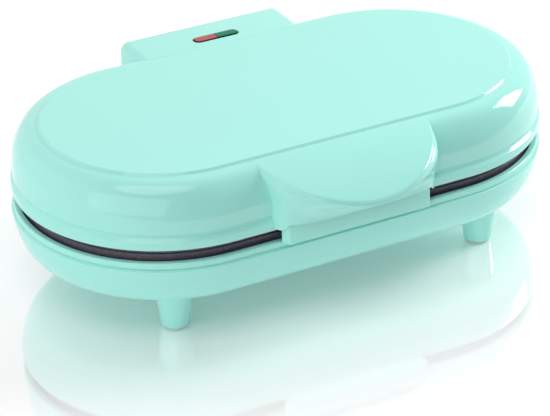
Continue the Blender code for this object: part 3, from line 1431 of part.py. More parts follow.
def make_lenses(shop):
    """Two half lenses side by side in the slot, each with a flange under the block's top"""
    width = LENS_WIDTH / 2 - FIT
    outer = LENS_LENGTH / 2 - FIT
    top = BLOCK_TOP - LENS_SINK
    shelf = LAMP_CEILING - FIT
    for name, side, finish in (("power_lens", -1, "red"), ("ready_lens", 1, "green")):
        body = prism(half_lens(side, outer, width), shelf - FIT, top)
        wide = sorted((side * FIT / 2, side * (outer + LENS_FLANGE)))
        flange = box((wide[0], -width - LENS_FLANGE, LENS_BOTTOM), (wide[1], width + LENS_FLANGE, shelf))
        place = (LENS_X, LENS_Y, 0)
        lens = shop.piece(name, body, finish, shop.lid, place)
        join(lens, shop.tool(f"{name}_flange", mesh_object(flange), shop.lid, place))


def make_lamp_holder(shop):
    outline = rectangle(HOLDER_HALF, -HOLDER_DEPTH / 2, HOLDER_DEPTH / 2, LENS_CORNER / 2)
    place = (0, LENS_Y, 0)
    holder = shop.piece("lamp_holder", prism(outline, HOLDER_BOTTOM, HOLDER_TOP), "black", shop.lid, place)
    for number, x in enumerate(holder_screws(), 1):
        spot = (x, LENS_Y, 0)
        hole = small_bore(HOLDER_BOTTOM - OVERRUN, HOLDER_TOP + OVERRUN)
        cut(holder, shop.tool(f"holder_hole_{number}", hole, shop.lid, spot))
        screw = small_screw(HOLDER_BOTTOM - FIT, HOLDER_TOP + FIT + SMALL_SCREW_GRIP)
        shop.piece(f"lamp_holder_screw_{number}", screw, "steel", shop.lid, spot)
    bottom = HOLDER_TOP + FIT
    top = LENS_BOTTOM - FIT
    cap = LAMP_RADIUS / 2
    bulb = [(0, top), (cap, top - cap / 3), (LAMP_RADIUS, top - cap), (LAMP_RADIUS, bottom), (0, bottom)]
    for name, side in (("power_lamp", -1), ("ready_lamp", 1)):
        spot = (LENS_X + side * LENS_LENGTH / 4, LENS_Y, 0)
        shop.piece(name, turned(bulb, BOSS_STEPS), "glass", shop.lid, spot)


def main():
    shop = Workshop()
    make_base_shell(shop)
    make_lid_shell(shop)
    for frame, side, name in ((shop.base, -1, "lower"), (shop.lid, 1, "upper")):
        make_plate(shop, frame, side, name)
        make_element(shop, frame, side, name)
        make_shield(shop, frame, side, name)
        make_plate_screws(shop, frame, side, name)
    make_foot_pads(shop)
    make_hinge_pins(shop)
    make_thermostat(shop)
    make_thermal_fuse(shop)
    make_terminal_block(shop)
    make_cord_clamp(shop)
    make_cord_bush(shop)
    make_wiring_cover(shop)
    make_lenses(shop)
    make_lamp_holder(shop)


main()
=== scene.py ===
"""Heart waffle maker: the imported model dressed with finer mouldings, finishes, floor and studio light."""

import json
import math

import bmesh
import bpy
from mathutils import Matrix, Vector

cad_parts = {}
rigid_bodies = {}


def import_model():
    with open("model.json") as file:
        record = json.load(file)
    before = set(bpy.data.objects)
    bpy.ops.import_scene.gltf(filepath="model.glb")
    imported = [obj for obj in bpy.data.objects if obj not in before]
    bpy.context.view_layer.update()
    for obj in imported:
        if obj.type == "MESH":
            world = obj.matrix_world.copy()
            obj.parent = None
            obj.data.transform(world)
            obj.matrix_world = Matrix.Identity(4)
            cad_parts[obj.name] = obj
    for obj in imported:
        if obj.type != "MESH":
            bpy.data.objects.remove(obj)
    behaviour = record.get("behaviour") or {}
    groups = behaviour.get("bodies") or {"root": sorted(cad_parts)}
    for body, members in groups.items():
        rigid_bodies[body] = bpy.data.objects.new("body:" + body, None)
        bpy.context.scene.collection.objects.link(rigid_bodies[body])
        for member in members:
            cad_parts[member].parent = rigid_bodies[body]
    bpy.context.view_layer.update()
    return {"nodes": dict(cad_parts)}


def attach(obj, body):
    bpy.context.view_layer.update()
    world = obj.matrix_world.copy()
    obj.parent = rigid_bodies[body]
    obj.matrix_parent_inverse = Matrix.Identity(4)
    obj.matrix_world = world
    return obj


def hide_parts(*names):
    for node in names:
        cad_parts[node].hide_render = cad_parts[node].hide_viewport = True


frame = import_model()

# Clearances
FIT = 0.0003
RUN = 0.0008
OVERRUN = 0.003

# Plan of the body
BODY_RADIUS = 0.0745
STRAIGHT_share = 0.83624
WALL = 0.0024
RIM_INSET = 0.0011
RIM_WIDTH = 0.0026
HALF_STRAIGHT = BODY_RADIUS * STRAIGHT_share
RIM_RADIUS = BODY_RADIUS - RIM_INSET
RIM_INNER = RIM_RADIUS - RIM_WIDTH

# Levels above the table
LEG_HEIGHT = 0.0192
BASE_DEPTH = 0.0245
LOWER_REVEAL = 0.0033
UPPER_REVEAL = 0.0034
LID_HEIGHT = 0.0322
BASE_RIM = LEG_HEIGHT + BASE_DEPTH
SEAM = BASE_RIM + LOWER_REVEAL
LID_RIM = SEAM + UPPER_REVEAL
LID_TOP = LID_RIM + LID_HEIGHT
BASE_FLOOR = LEG_HEIGHT + WALL

# Base wall: lip, groove and ridge under the rim, then one elliptical sweep to the floor
LIP_CHAMFER = 0.0008
LIP_HEIGHT = 0.0031
GROOVE_DEPTH = 0.0006
GROOVE_HEIGHT = 0.0010
BASE_ROUND_OUT = 0.0121
BASE_ROUND_DOWN = 0.0248
RIDGE_Z = BASE_RIM - LIP_HEIGHT - GROOVE_HEIGHT
BASE_ROUND_Z = LEG_HEIGHT + BASE_ROUND_DOWN
BASE_FLAT_RADIUS = BODY_RADIUS - BASE_ROUND_OUT

# Lid wall: rim bead, cove, upright, rounded shoulder, narrow ledge and raised top panel
LID_INSET = 0.0015
BEAD_OUT = 0.0010
BEAD_ROUND = 0.0018
BEAD_HEIGHT = 0.0050
COVE_DEPTH = 0.0006
COVE_HEIGHT = 0.0031
UPRIGHT_TOP = 0.0116
SHOULDER_OUT = 0.0128
LEDGE_OUT = 0.0008
LEDGE_FALL = 0.0002
PANEL_BEVEL_OUT = 0.0010
PANEL_BEVEL_DOWN = 0.0011
SHOULDER_SQUARENESS = 2.1
LID_RADIUS = BODY_RADIUS - LID_INSET
BEAD_RADIUS = LID_RADIUS + BEAD_OUT
SHOULDER_Z = LID_RIM + UPRIGHT_TOP
SHOULDER_TOP = LID_TOP - PANEL_BEVEL_DOWN - LEDGE_FALL
SHOULDER_INNER = LID_RADIUS - SHOULDER_OUT
PANEL_RADIUS = SHOULDER_INNER - LEDGE_OUT - PANEL_BEVEL_OUT

# Waffle plates, measured from the seam: depth runs into the base or into the lid
PLATE_GAP = 0.0013
PLATE_THICKNESS = 0.00935
PLATE_LIP = 0.00705
PLATE_CHAMFER = 0.0004
LEDGE_WIDTH = 0.0022
LEDGE_HEIGHT = 0.0012
LEDGE_SLOPE = 0.0016
NECK_GAP = 0.0010
PLATE_RADIUS = RIM_INNER - PLATE_GAP
LEDGE_INNER = RIM_INNER - LEDGE_WIDTH
NECK_RADIUS = LEDGE_INNER - NECK_GAP
PLATE_FACE = FIT / 2
PLATE_BACK = PLATE_FACE + PLATE_THICKNESS
PLATE_SEAT = PLATE_FACE + PLATE_LIP
LEDGE_DEPTH = PLATE_SEAT + FIT
BACK_RIB = 0.0036
BACK_POCKET_DEPTH = 0.0050
BACK_CHANNEL = 0.0065
BACK_PAD_RADIUS = NECK_RADIUS - BACK_RIB - BACK_CHANNEL

# Rosettes: five hearts with their tips to the middle, in a shallow flower, with a grid of pegs
HEARTS = 5
HEART_TIP_share = 0.0863
LOBE_OUT_share = 0.6115
LOBE_SIDE_share = 0.1669
LOBE_RADIUS_share = 0.1813
HEART_DEPTH = 0.0067
HEART_DRAFT = 0.0008
FLOWER_GROW = 0.0032
FLOWER_DEPTH = 0.0025
PEG_PITCH_share = 0.1468
PEG_FIRST_share = 0.2734
PEG_ROWS = 4
PEG_COLUMNS_ASIDE = 2
PEG_BASE = 0.0060
PEG_TOP = 0.0050
PEG_DROP = 0.0024
PEG_MARGIN = 0.0006
HEART_TIP = PLATE_RADIUS * HEART_TIP_share
HEART_LOBE_OUT = PLATE_RADIUS * LOBE_OUT_share
HEART_LOBE_SIDE = PLATE_RADIUS * LOBE_SIDE_share
HEART_LOBE_RADIUS = PLATE_RADIUS * LOBE_RADIUS_share
HEART_REACH = math.hypot(HEART_LOBE_OUT - HEART_TIP, HEART_LOBE_SIDE)
HEART_FLARE = math.atan2(HEART_LOBE_SIDE, HEART_LOBE_OUT - HEART_TIP)
HEART_FLARE += math.asin(HEART_LOBE_RADIUS / HEART_REACH)
PEG_PITCH = PLATE_RADIUS * PEG_PITCH_share
PEG_FIRST = PLATE_RADIUS * PEG_FIRST_share

# Depths of the heating elements and heat shields behind the plates
ELEMENT_RADIUS = 0.0033
SHIELD_SHEET = 0.0010
ELEMENT_DEPTH = PLATE_BACK + FIT + ELEMENT_RADIUS
SHIELD_FLOOR = ELEMENT_DEPTH + ELEMENT_RADIUS + FIT
SHIELD_BACK = SHIELD_FLOOR + SHIELD_SHEET

# Plate screws, countersunk in the plates between the rosettes, and their bosses
SCREW_IN = 0.0225
SCREW_RADIUS = 0.0016
SCREW_HEAD = 0.0034
SCREW_HEAD_HEIGHT = 0.0018
SCREW_SINK = 0.0003
SCREW_GRIP = 0.0055
BOSS_RADIUS = 0.0046
BOSS_TOP = SHIELD_BACK + FIT
SCREW_PLACE = BODY_RADIUS - SCREW_IN
SCREW_SPOTS = [(0, -SCREW_PLACE, 0), (0, SCREW_PLACE, 0)]

# Legs and foot pads
LEG_OUT = 0.0211
LEG_IN = 0.0245
LEG_FOOT_RADIUS = 0.00675
LEG_TOP_RADIUS = 0.0093
LEG_WALL = 0.0026
LEG_LIFT = 0.0008
PAD_RADIUS = 0.0049
PAD_HEIGHT = 0.0026
LEG_SINK = 0.0012
LEG_X = HALF_STRAIGHT + LEG_OUT
LEG_Y = BODY_RADIUS - LEG_IN

# Tab at the front of the base, in front of the lid's rim
TAB_REACH = 0.0050
TAB_HALF = 0.0375
TAB_SPREAD = 0.0029
TAB_RISE = 0.0041
TAB_FACE_RISE = 0.0003
TAB_CORNER = 0.0020
TAB_EDGE = 0.0008
TAB_LIP_EDGE = 0.0005
TAB_UNDER_DEPTH = 0.0036
TAB_UNDER_IN = 0.0060
TAB_STEP = 0.0010
TAB_FRONT = BODY_RADIUS + TAB_REACH
TAB_BACK_HALF = TAB_HALF + TAB_SPREAD
TAB_TOP = LID_RIM + TAB_RISE
TAB_FACE_BOTTOM = BASE_RIM + TAB_FACE_RISE
TAB_BACK = BEAD_RADIUS + RUN
TAB_ROOT = RIM_INNER - WALL

# Hood that is the lid's handle
HOOD_TOP_HALF = 0.0474
HOOD_TOP_IN = 0.0209
HOOD_FOOT_HALF = 0.0430
HOOD_FOOT_IN = 0.0085
HOOD_FOOT_DEPTH = 0.0178
HOOD_FOOT_SQUARENESS = 4.0
HOOD_BACK_IN = 0.0295
HOOD_TOP_DROP = 0.0011
HOOD_FALL_IN = 0.0145
HOOD_FALL = 0.0061
HOOD_ROLL = 0.0072
HOOD_EDGE = 0.0016
HOOD_FOOT_LIFT = 0.0016
HOOD_WALL = 0.0024
HOOD_DRAW = 3
ARCH_CLEARANCE = 0.0007
ARCH_INSET = 0.0005
ARCH_SPREAD = 0.0040
ARCH_ROUND = 0.0030
ARCH_HALF = TAB_HALF - ARCH_INSET
HOOD_TOP = LID_TOP - HOOD_TOP_DROP
HOOD_FOOT = LID_RIM + HOOD_FOOT_LIFT
HOOD_TOP_MIDDLE = BODY_RADIUS - HOOD_TOP_IN
HOOD_FOOT_MIDDLE = BODY_RADIUS - HOOD_FOOT_IN
HOOD_BACK = BODY_RADIUS - HOOD_BACK_IN
HOOD_FALL_START = BODY_RADIUS - HOOD_FALL_IN
HANDLE_REACH = HOOD_TOP_MIDDLE + HOOD_TOP_HALF
POCKET_CURL_share = 0.50
POCKET_BEND_share = 0.80

# Hinge at the back: a barrel on the base between two cheeks of the lid
HINGE_OUT = 0.0067
HINGE_LIFT = 0.0018
BARREL_RADIUS = 0.0060
BARREL_HALF = 0.0409
CHEEK_THICKNESS = 0.0032
CHEEK_INNER = BARREL_HALF + RUN
CHEEK_OUTER = CHEEK_INNER + CHEEK_THICKNESS
PIN_RADIUS = 0.0020
PIN_DEPTH = 0.0100
PIN_HEAD = 0.0034
PIN_HEAD_HEIGHT = 0.0010
PIN_SINK = 0.0002
HINGE_Y = BODY_RADIUS + HINGE_OUT
HINGE_Z = BASE_RIM + HINGE_LIFT
HINGE_REACH = HINGE_Y + BARREL_RADIUS

# Rear block of the base
REAR_SINK = 0.0007
REAR_ROOT = 0.0165
REAR_EDGE = 0.0030
REAR_FACE = HINGE_REACH - REAR_SINK
REAR_START = BODY_RADIUS - REAR_ROOT
REAR_CEILING = HINGE_Z - BARREL_RADIUS - WALL

# Rear block of the lid
BLOCK_MARGIN = 0.0004
BLOCK_DRAFT = 0.0004
BLOCK_TOP_DROP = 0.0008
BLOCK_ROOT = 0.0145
BLOCK_GAP = 0.0010
BLOCK_EDGE = 0.0030
BLOCK_WALL = 0.0026
POCKET_RISE = 0.0121
POCKET_STEP = 0.0002
BLOCK_HALF = CHEEK_OUTER + BLOCK_MARGIN
BLOCK_TOP = LID_TOP - BLOCK_TOP_DROP
BLOCK_START = BODY_RADIUS - BLOCK_ROOT
BLOCK_BOTTOM = HINGE_Z + BARREL_RADIUS + BLOCK_GAP
POCKET_CEILING = HINGE_Z + POCKET_RISE

# Indicator lens and the lamps under it
LENS_X = 0.0005
LENS_AHEAD = 0.0112
LENS_LENGTH = 0.0250
LENS_WIDTH = 0.0065
LENS_CORNER = 0.0029
LENS_FLANGE = 0.0010
LENS_FLANGE_HEIGHT = 0.0012
LAMP_HEIGHT = 0.0069
HOLDER_SCREW_X = 0.0175
HOLDER_BOSS_RADIUS = 0.0027
SMALL_SCREW_RADIUS = 0.0011
SMALL_SCREW_GRIP = 0.0050
LENS_Y = HINGE_Y - LENS_AHEAD
LAMP_CEILING = BLOCK_TOP - WALL
LAMP_FLOOR = POCKET_CEILING + WALL
LENS_BOTTOM = LAMP_CEILING - FIT - LENS_FLANGE_HEIGHT
HOLDER_TOP = LENS_BOTTOM - 2 * FIT - LAMP_HEIGHT

# Wiring parts inside the base and its rear block
TERMINAL_X_share = -0.3912
TERMINAL_IN = 0.0115
TERMINAL_SCREW_GRIP = 0.0040
CLAMP_X_share = 0.4401
CLAMP_IN = 0.0095
CLAMP_WIDTH = 0.0066
CLAMP_SCREW_share = 0.1907
CLAMP_CORD_ROOM = 0.0084
BUSH_RISE = 0.0113
BUSH_FLANGE_RADIUS = 0.0065
BUSH_NECK_RADIUS = 0.0047
BUSH_RECESS = 0.0008
TERMINAL_X = BARREL_HALF * TERMINAL_X_share
TERMINAL_Y = REAR_FACE - TERMINAL_IN
CLAMP_X = BARREL_HALF * CLAMP_X_share
CLAMP_SCREW_X = BARREL_HALF * CLAMP_SCREW_share
CLAMP_Y = REAR_FACE - CLAMP_IN
BUSH_Z = LEG_HEIGHT + BUSH_RISE

# Cover of the wiring, let into the floor under the rear block
COVER_INSET = 0.0033
COVER_REAR_IN = 0.0035
COVER_DEPTH = 0.0170
COVER_RECESS = 0.0012
COVER_END = 0.0081
COVER_LAND = 0.0020
COVER_CORNER = 0.0020
COVER_SCREW_IN = 0.0041
COVER_BOSS_RADIUS = 0.0031
COVER_BOSS_HEIGHT = 0.0054
COVER_HALF = BARREL_HALF - COVER_INSET
COVER_REAR = REAR_FACE - COVER_REAR_IN
COVER_FRONT = COVER_REAR - COVER_DEPTH
COVER_OPENING_HALF = COVER_HALF - COVER_END
COVER_SCREW_X = COVER_HALF - COVER_SCREW_IN
COVER_SCREW_Y = (COVER_FRONT + COVER_REAR) / 2
BODY_SHIFT = (HANDLE_REACH - HINGE_REACH) / 2

# Facets of the fine mouldings
ARC_STEPS = 56
SIDE_STEPS = 14
SHOULDER_STEPS = 14
BASE_STEPS = 14
HOOD_STEPS = 72
HOOD_EDGE_STEPS = 6
HOOD_SIDE_STEPS = 14
TURN_STEPS = 48
LOBE_STEPS = 18
FLOWER_STEPS = 14
LENS_EDGE_STEPS = 5
EASE_STEPS = 5
ROUND_STEPS = 8
CHEEK_STEPS = 24
HIDDEN_STEPS = 6
PEG_STEPS = 3
HOOD_CROWDING = 1.5

# How edges are told apart
ALONG_share = 0.9
SMOOTH_ANGLE = math.radians(32)

# Softness of the fine mouldings' edges, and the lens's place in its block
PANEL_EDGE = 0.0002
PEG_CORNER = 0.0005
LENS_EDGE = 0.0007
LENS_SHIFT = 0.0015
LENS_RISE = 0.0005
BLOCK_SIDE_EDGE = 0.0045
LEG_SOFTNESS = 0.0014


# Colours


def linear(value):
    """One sRGB channel of 0 to 255 as a linear value"""
    value = value / 255
    return value / 12.92 if value <= 0.04045 else ((value + 0.055) / 1.055) ** 2.4


def shade(red, green, blue):
    return (linear(red), linear(green), linear(blue), 1.0)


def toned(colour, share, lift=0.0):
    """A colour made darker or lighter"""
    return tuple(min(1.0, channel * share + lift) for channel in colour[:3]) + (1.0,)


# Scales are per metre, swings are of roughness, and grains are heights in metres
MINT = shade(167, 239, 228)
FLOW_SCALE = 18.0
FLOW_TONE = 0.97
GLOSS_SCALE = 90.0
GLOSS_SWING = 0.06
RIPPLE_SCALE = 420.0
RIPPLE_GRAIN = 0.00002
COATING_DARK = shade(64, 57, 70)
COATING_LIGHT = shade(120, 109, 125)
COATING_ROUGHNESS = 0.28
COATING_METAL = 0.15
COATING_SCALE = 1500.0
COATING_GRAIN = 0.00003
SPECKLE_SCALE = 2600.0
SPECKLE_FINENESS = 0.7
SPECKLE_START = 0.42
SPECKLE_CONTRAST = 4.0
SPECKLE_SWING = 0.25
WEAR_SCALE = 260.0
WEAR_TONE = 0.86
WEAR_SWING = 0.16
LENS_RED = shade(192, 100, 96)
LENS_GREEN = shade(14, 130, 94)
LENS_DEPTH_SCALE = 140.0
LENS_DEPTH_TONE = 0.72
LENS_SWING = 0.05
LENS_ROUGHNESS = 0.22
LENS_SHINE = 0.12
# Painted shade on the lens's rounded edge: how dark it goes, and how soon it sets in as the surface leans
LENS_EDGE_SHADE = 0.08
LENS_EDGE_SHADE_ONSET = 6.0
POLYMER_SCALE = 1400.0
POLYMER_TONE = 1.2
POLYMER_LIFT = 0.004
POLYMER_SWING = 0.14
POLYMER_GRAIN = 0.00004


class Field:
    """A number that varies over a surface or a direction; arithmetic on it adds Math nodes"""

    def __init__(self, graph, socket):
        self.graph = graph
        self.socket = socket

    def _math(self, operation, first, second=0.0):
        return self.graph.field("ShaderNodeMath", 0, {"operation": operation}, {0: first, 1: second})

    def __add__(self, other):
        return self._math("ADD", self, other)

    def __sub__(self, other):
        return self._math("SUBTRACT", self, other)

    def __rsub__(self, other):
        return self._math("SUBTRACT", other, self)

    def __mul__(self, other):
        return self._math("MULTIPLY", self, other)

    def __truediv__(self, other):
        return self._math("DIVIDE", self, other)

    def __rtruediv__(self, other):
        return self._math("DIVIDE", other, self)

    def __pow__(self, other):
        return self._math("POWER", self, other)

    def __abs__(self):
        return self._math("ABSOLUTE", self)

    def at_least(self, other):
        return self._math("MAXIMUM", self, other)

    def at_most(self, other):
        return self._math("MINIMUM", self, other)

    __radd__ = __add__
    __rmul__ = __mul__


class Graph:
    """A node tree, built up one node at a time"""

    def __init__(self, tree):
        self.tree = tree

    def node(self, kind, settings=None, values=None):
        made = self.tree.nodes.new(kind)
        for name, value in (settings or {}).items():
            setattr(made, name, value)
        for name, value in (values or {}).items():
            self.feed(made.inputs[name], value)
        return made

    def field(self, kind, output, settings=None, values=None):
        """One output of a new node"""
        return Field(self, self.node(kind, settings, values).outputs[output])

    def feed(self, socket, value):
        if isinstance(value, Field):
            value = value.socket
        if isinstance(value, bpy.types.NodeSocket):
            self.tree.links.new(value, socket)
        else:
            socket.default_value = value

    def split(self, output):
        """The three parts of a texture coordinate"""
        place = self.node("ShaderNodeTexCoord").outputs[output]
        parts = self.node("ShaderNodeSeparateXYZ", None, {0: place})
        return [Field(self, socket) for socket in parts.outputs]

    def blended(self, share, first, second):
        """One shader laid over another by a share"""
        return self.node("ShaderNodeMixShader", None, {0: share, 1: first, 2: second}).outputs[0]


class Finish(Graph):
    """A material round its own surface shader"""

    def __init__(self, name):
        self.material = bpy.data.materials.new(name)
        self.material.use_nodes = True
        super().__init__(self.material.node_tree)
        self.shader = self.tree.nodes["Principled BSDF"]
        self.output = self.tree.nodes["Material Output"]

    def set(self, **values):
        """Sets or links sockets of the surface's own shader"""
        for name, value in values.items():
            self.feed(self.shader.inputs[name.replace("_", " ")], value)

    def noise(self, scale, detail=2.0, roughness=0.5):
        """Noise in the object's own metres"""
        place = self.node("ShaderNodeTexCoord").outputs["Object"]
        values = {"Vector": place, "Scale": scale, "Detail": detail, "Roughness": roughness}
        return self.field("ShaderNodeTexNoise", "Fac", None, values)

    def mixed(self, share, first, second):
        """A colour between two colours"""
        node = self.node("ShaderNodeMix", {"data_type": "RGBA"})
        self.feed(node.inputs["Factor"], share)
        self.feed(node.inputs[6], first)
        self.feed(node.inputs[7], second)
        return node.outputs[2]

    def bump(self, height, distance):
        return self.node("ShaderNodeBump", None, {"Height": height, "Distance": distance}).outputs["Normal"]


def moulded_plastic(name, colour, roughness):
    """Glossy moulded plastic: a faint flow in the colour and a very slight ripple in the gloss"""
    finish = Finish(name)
    flow = finish.noise(FLOW_SCALE, detail=3.0)
    finish.set(Base_Color=finish.mixed(flow, colour, toned(colour, FLOW_TONE)))
    finish.set(Roughness=finish.noise(GLOSS_SCALE) * GLOSS_SWING + (roughness - GLOSS_SWING / 2))
    finish.set(Normal=finish.bump(finish.noise(RIPPLE_SCALE, detail=1.0), RIPPLE_GRAIN))
    return finish


def coated_metal(name):
    """Dark non-stick coating with a fine speckle"""
    finish = Finish(name)
    speckle = finish.noise(SPECKLE_SCALE, roughness=SPECKLE_FINENESS)
    share = (speckle - SPECKLE_START) * SPECKLE_CONTRAST
    finish.set(Base_Color=finish.mixed(share, COATING_DARK, COATING_LIGHT))
    finish.set(Roughness=speckle * SPECKLE_SWING + COATING_ROUGHNESS, Metallic=COATING_METAL)
    finish.set(Normal=finish.bump(finish.noise(COATING_SCALE, detail=3.0), COATING_GRAIN))
    return finish


def bare_steel(name, colour, roughness):
    finish = Finish(name)
    wear = finish.noise(WEAR_SCALE, detail=4.0)
    finish.set(Base_Color=finish.mixed(wear, colour, toned(colour, WEAR_TONE)), Metallic=1.0)
    finish.set(Roughness=wear * WEAR_SWING + (roughness - WEAR_SWING / 2))
    return finish


def clear_plastic(name, colour):
    """Tinted clear plastic whose rounded edge is darkened with painted shade"""
    finish = Finish(name)
    depth = finish.noise(LENS_DEPTH_SCALE)
    body = finish.mixed(depth, colour, toned(colour, LENS_DEPTH_TONE))
    # Painted shade: where the surface leans away from straight up, on the rounded edge, the colour goes
    # nearly black
    edge_shade_share = ((1 - finish.split("Normal")[2]) * LENS_EDGE_SHADE_ONSET).at_most(1)
    edge = toned(colour, LENS_EDGE_SHADE)
    finish.set(Base_Color=finish.mixed(edge_shade_share, body, edge), Specular_IOR_Level=LENS_SHINE)
    finish.set(Roughness=depth * LENS_SWING + LENS_ROUGHNESS)
    return finish


def matt_polymer(name, colour, roughness):
    finish = Finish(name)
    grained = finish.noise(POLYMER_SCALE)
    lighter = toned(colour, POLYMER_TONE, POLYMER_LIFT)
    finish.set(Base_Color=finish.mixed(grained, colour, lighter))
    finish.set(Roughness=grained * POLYMER_SWING + (roughness - POLYMER_SWING / 2))
    finish.set(Normal=finish.bump(grained, POLYMER_GRAIN))
    return finish


# Camera, light and floor

PHOTO_WIDTH = 550
CAMERA_AZIMUTH = math.radians(-27.594)
CAMERA_ELEVATION = math.radians(28.712)
CAMERA_ROLL = math.radians(-1.034)
CAMERA_DISTANCE = 1.2654
CAMERA_TARGET = Vector((-0.02308, -0.03766 + BODY_SHIFT, 0.040))
FOCAL_PIXELS = 2656.2
SENSOR_WIDTH = 36.0
CAMERA_NEAR = 0.05

WHITE = (1.0, 1.0, 1.0, 1.0)
ROOM_WALLS = {"front": 0.02, "back": 0.98, "mirrored_front": 0.18, "mirrored_back": 1.0, "backdrop": 1.0}
ROOM_DARK_share = 0.25
ROOM_FADE_share = 0.35
KEY_LIGHT = 0.80
KEY_PLACE = (-0.24, -0.26, 1.0)
KEY_ANGLE = math.radians(40)
RIGHT_LIGHT = 12.0
RIGHT_PLACE = (1.25, -0.05, 0.65)
RIGHT_SIZE = (0.50, 0.62)
LEFT_LIGHT = 10.0
LEFT_PLACE = (-1.35, -0.95, 0.50)
LEFT_SIZE = (1.80, 1.30)
LIT_SPOT = (0.0, 0.0, 0.05)
FLOOR_HALF = 4.0
FLOOR_FRONT = -0.25
FLOOR_BACK = 5.0
FLOOR_COLOUR = (0.95, 0.92, 0.93, 1.0)
FLOOR_ROUGHNESS = 0.6
FLOOR_GLOW = 0.13
FLOOR_POLISH = 0.04
MIRROR_NEAR = 0.42
MIRROR_FAR = 0.01
MIRROR_REACH = 0.13


def place_camera():
    data = bpy.data.cameras.new("photo_camera")
    camera = bpy.data.objects.new("photo_camera", data)
    bpy.context.scene.collection.objects.link(camera)
    level = math.cos(CAMERA_ELEVATION)
    back = Vector(
        (math.sin(CAMERA_AZIMUTH) * level, -math.cos(CAMERA_AZIMUTH) * level, math.sin(CAMERA_ELEVATION))
    )
    right = Vector((0, 0, 1)).cross(back).normalized()
    up = back.cross(right)
    cosine, sine = math.cos(CAMERA_ROLL), math.sin(CAMERA_ROLL)
    right, up = right * cosine + up * sine, up * cosine - right * sine
    turn = Matrix((right, up, back)).transposed().to_4x4()
    camera.matrix_world = Matrix.Translation(CAMERA_TARGET + back * CAMERA_DISTANCE) @ turn
    data.sensor_width = SENSOR_WIDTH
    data.lens = FOCAL_PIXELS * SENSOR_WIDTH / PHOTO_WIDTH
    data.clip_start = CAMERA_NEAR
    bpy.context.scene.camera = camera


def lamp(name, kind, energy, place, aim, **settings):
    data = bpy.data.lights.new(name, kind)
    data.energy = energy
    for key, value in settings.items():
        setattr(data, key, value)
    obj = bpy.data.objects.new(name, data)
    bpy.context.scene.collection.objects.link(obj)
    obj.location = place
    obj.rotation_euler = (Vector(aim) - Vector(place)).to_track_quat("-Z", "Y").to_euler()


def softbox(name, energy, place, size):
    lamp(name, "AREA", energy, place, LIT_SPOT, shape="RECTANGLE", size=size[0], size_y=size[1])


def light_studio():
    """A white room, darker in front than behind, with a soft key from above and a softbox on each side"""
    world = bpy.data.worlds.new("studio")
    bpy.context.scene.world = world
    world.use_nodes = True
    room = Graph(world.node_tree)
    walls = {
        name: room.node("ShaderNodeBackground", None, {"Color": WHITE, "Strength": strength}).outputs[0]
        for name, strength in ROOM_WALLS.items()
    }
    behind = (room.split("Generated")[1] + 1) / 2
    lit = room.blended(behind, walls["front"], walls["back"])
    open_share = ((behind - ROOM_DARK_share) / ROOM_FADE_share).at_least(0).at_most(1)
    mirrored = room.blended(open_share, walls["mirrored_front"], walls["mirrored_back"])
    rays = room.node("ShaderNodeLightPath").outputs
    seen = room.blended(rays["Is Glossy Ray"], lit, mirrored)
    whole = room.blended(rays["Is Camera Ray"], seen, walls["backdrop"])
    room.feed(room.tree.nodes["World Output"].inputs["Surface"], whole)
    lamp("key", "SUN", KEY_LIGHT, KEY_PLACE, LIT_SPOT, angle=KEY_ANGLE)
    softbox("right_softbox", RIGHT_LIGHT, RIGHT_PLACE, RIGHT_SIZE)
    softbox("left_softbox", LEFT_LIGHT, LEFT_PLACE, LEFT_SIZE)


def lay_floor():
    """A polished white table top: its mirror image fades away from the body, and only the camera sees it"""
    front = [(x, FLOOR_FRONT, 0) for x in both(FLOOR_HALF)]
    back = [(x, FLOOR_BACK, 0) for x in (FLOOR_HALF, -FLOOR_HALF)]
    mesh = bpy.data.meshes.new("floor")
    mesh.from_pydata(front + back, [], [(0, 1, 2, 3)])
    floor = bpy.data.objects.new("floor", mesh)
    bpy.context.scene.collection.objects.link(floor)
    finish = Finish("white_floor")
    finish.set(Base_Color=FLOOR_COLOUR, Roughness=FLOOR_ROUGHNESS, Specular_IOR_Level=0.0)
    finish.set(Emission_Color=WHITE, Emission_Strength=FLOOR_GLOW)
    x, y, _ = finish.split("Object")
    along = (abs(x) - HALF_STRAIGHT).at_least(0)
    away = (along ** 2 + (y - BODY_SHIFT) ** 2) ** 0.5 - BODY_RADIUS
    settings = {"interpolation_type": "SMOOTHSTEP"}
    fade = {"From Min": 0.0, "From Max": MIRROR_REACH, "To Min": MIRROR_NEAR, "To Max": MIRROR_FAR}
    share = finish.field("ShaderNodeMapRange", "Result", settings, {"Value": away, **fade})
    share = share * finish.field("ShaderNodeLightPath", "Is Camera Ray")
    mirror = finish.node("ShaderNodeBsdfGlossy", None, {"Color": WHITE, "Roughness": FLOOR_POLISH}).outputs[0]
    surface = finish.blended(share, finish.shader.outputs[0], mirror)
    finish.feed(finish.output.inputs["Surface"], surface)
    coat(floor, finish)


# Solids


def both(distance):
    """A distance to the one side and to the other"""
    return (-distance, distance)


def quarter_round(radius, steps):
    """Pairs of what is left and what is gone of the radius along a quarter round"""
    for step in range(steps + 1):
        turn = math.pi / 2 * step / steps
        yield radius * (1 - math.sin(turn)), radius * (1 - math.cos(turn))


def solid(bm):
    """An object from a closed bmesh, its faces turned outwards"""
    bmesh.ops.remove_doubles(bm, verts=bm.verts[:], dist=FIT / 1000)
    bmesh.ops.recalc_face_normals(bm, faces=bm.faces[:])
    mesh = bpy.data.meshes.new("solid")
    bm.to_mesh(mesh)
    bm.free()
    return bpy.data.objects.new("solid", mesh)


def lofted(rings):
    """A skin over rings of equally many points, with flat ends"""
    bm = bmesh.new()
    loops = [[bm.verts.new(point) for point in ring] for ring in rings]
    for low, high in zip(loops, loops[1:]):
        for i in range(len(low)):
            j = (i + 1) % len(low)
            bm.faces.new((low[i], low[j], high[j], high[i]))
    bm.faces.new(loops[0])
    bm.faces.new(loops[-1])
    return bm


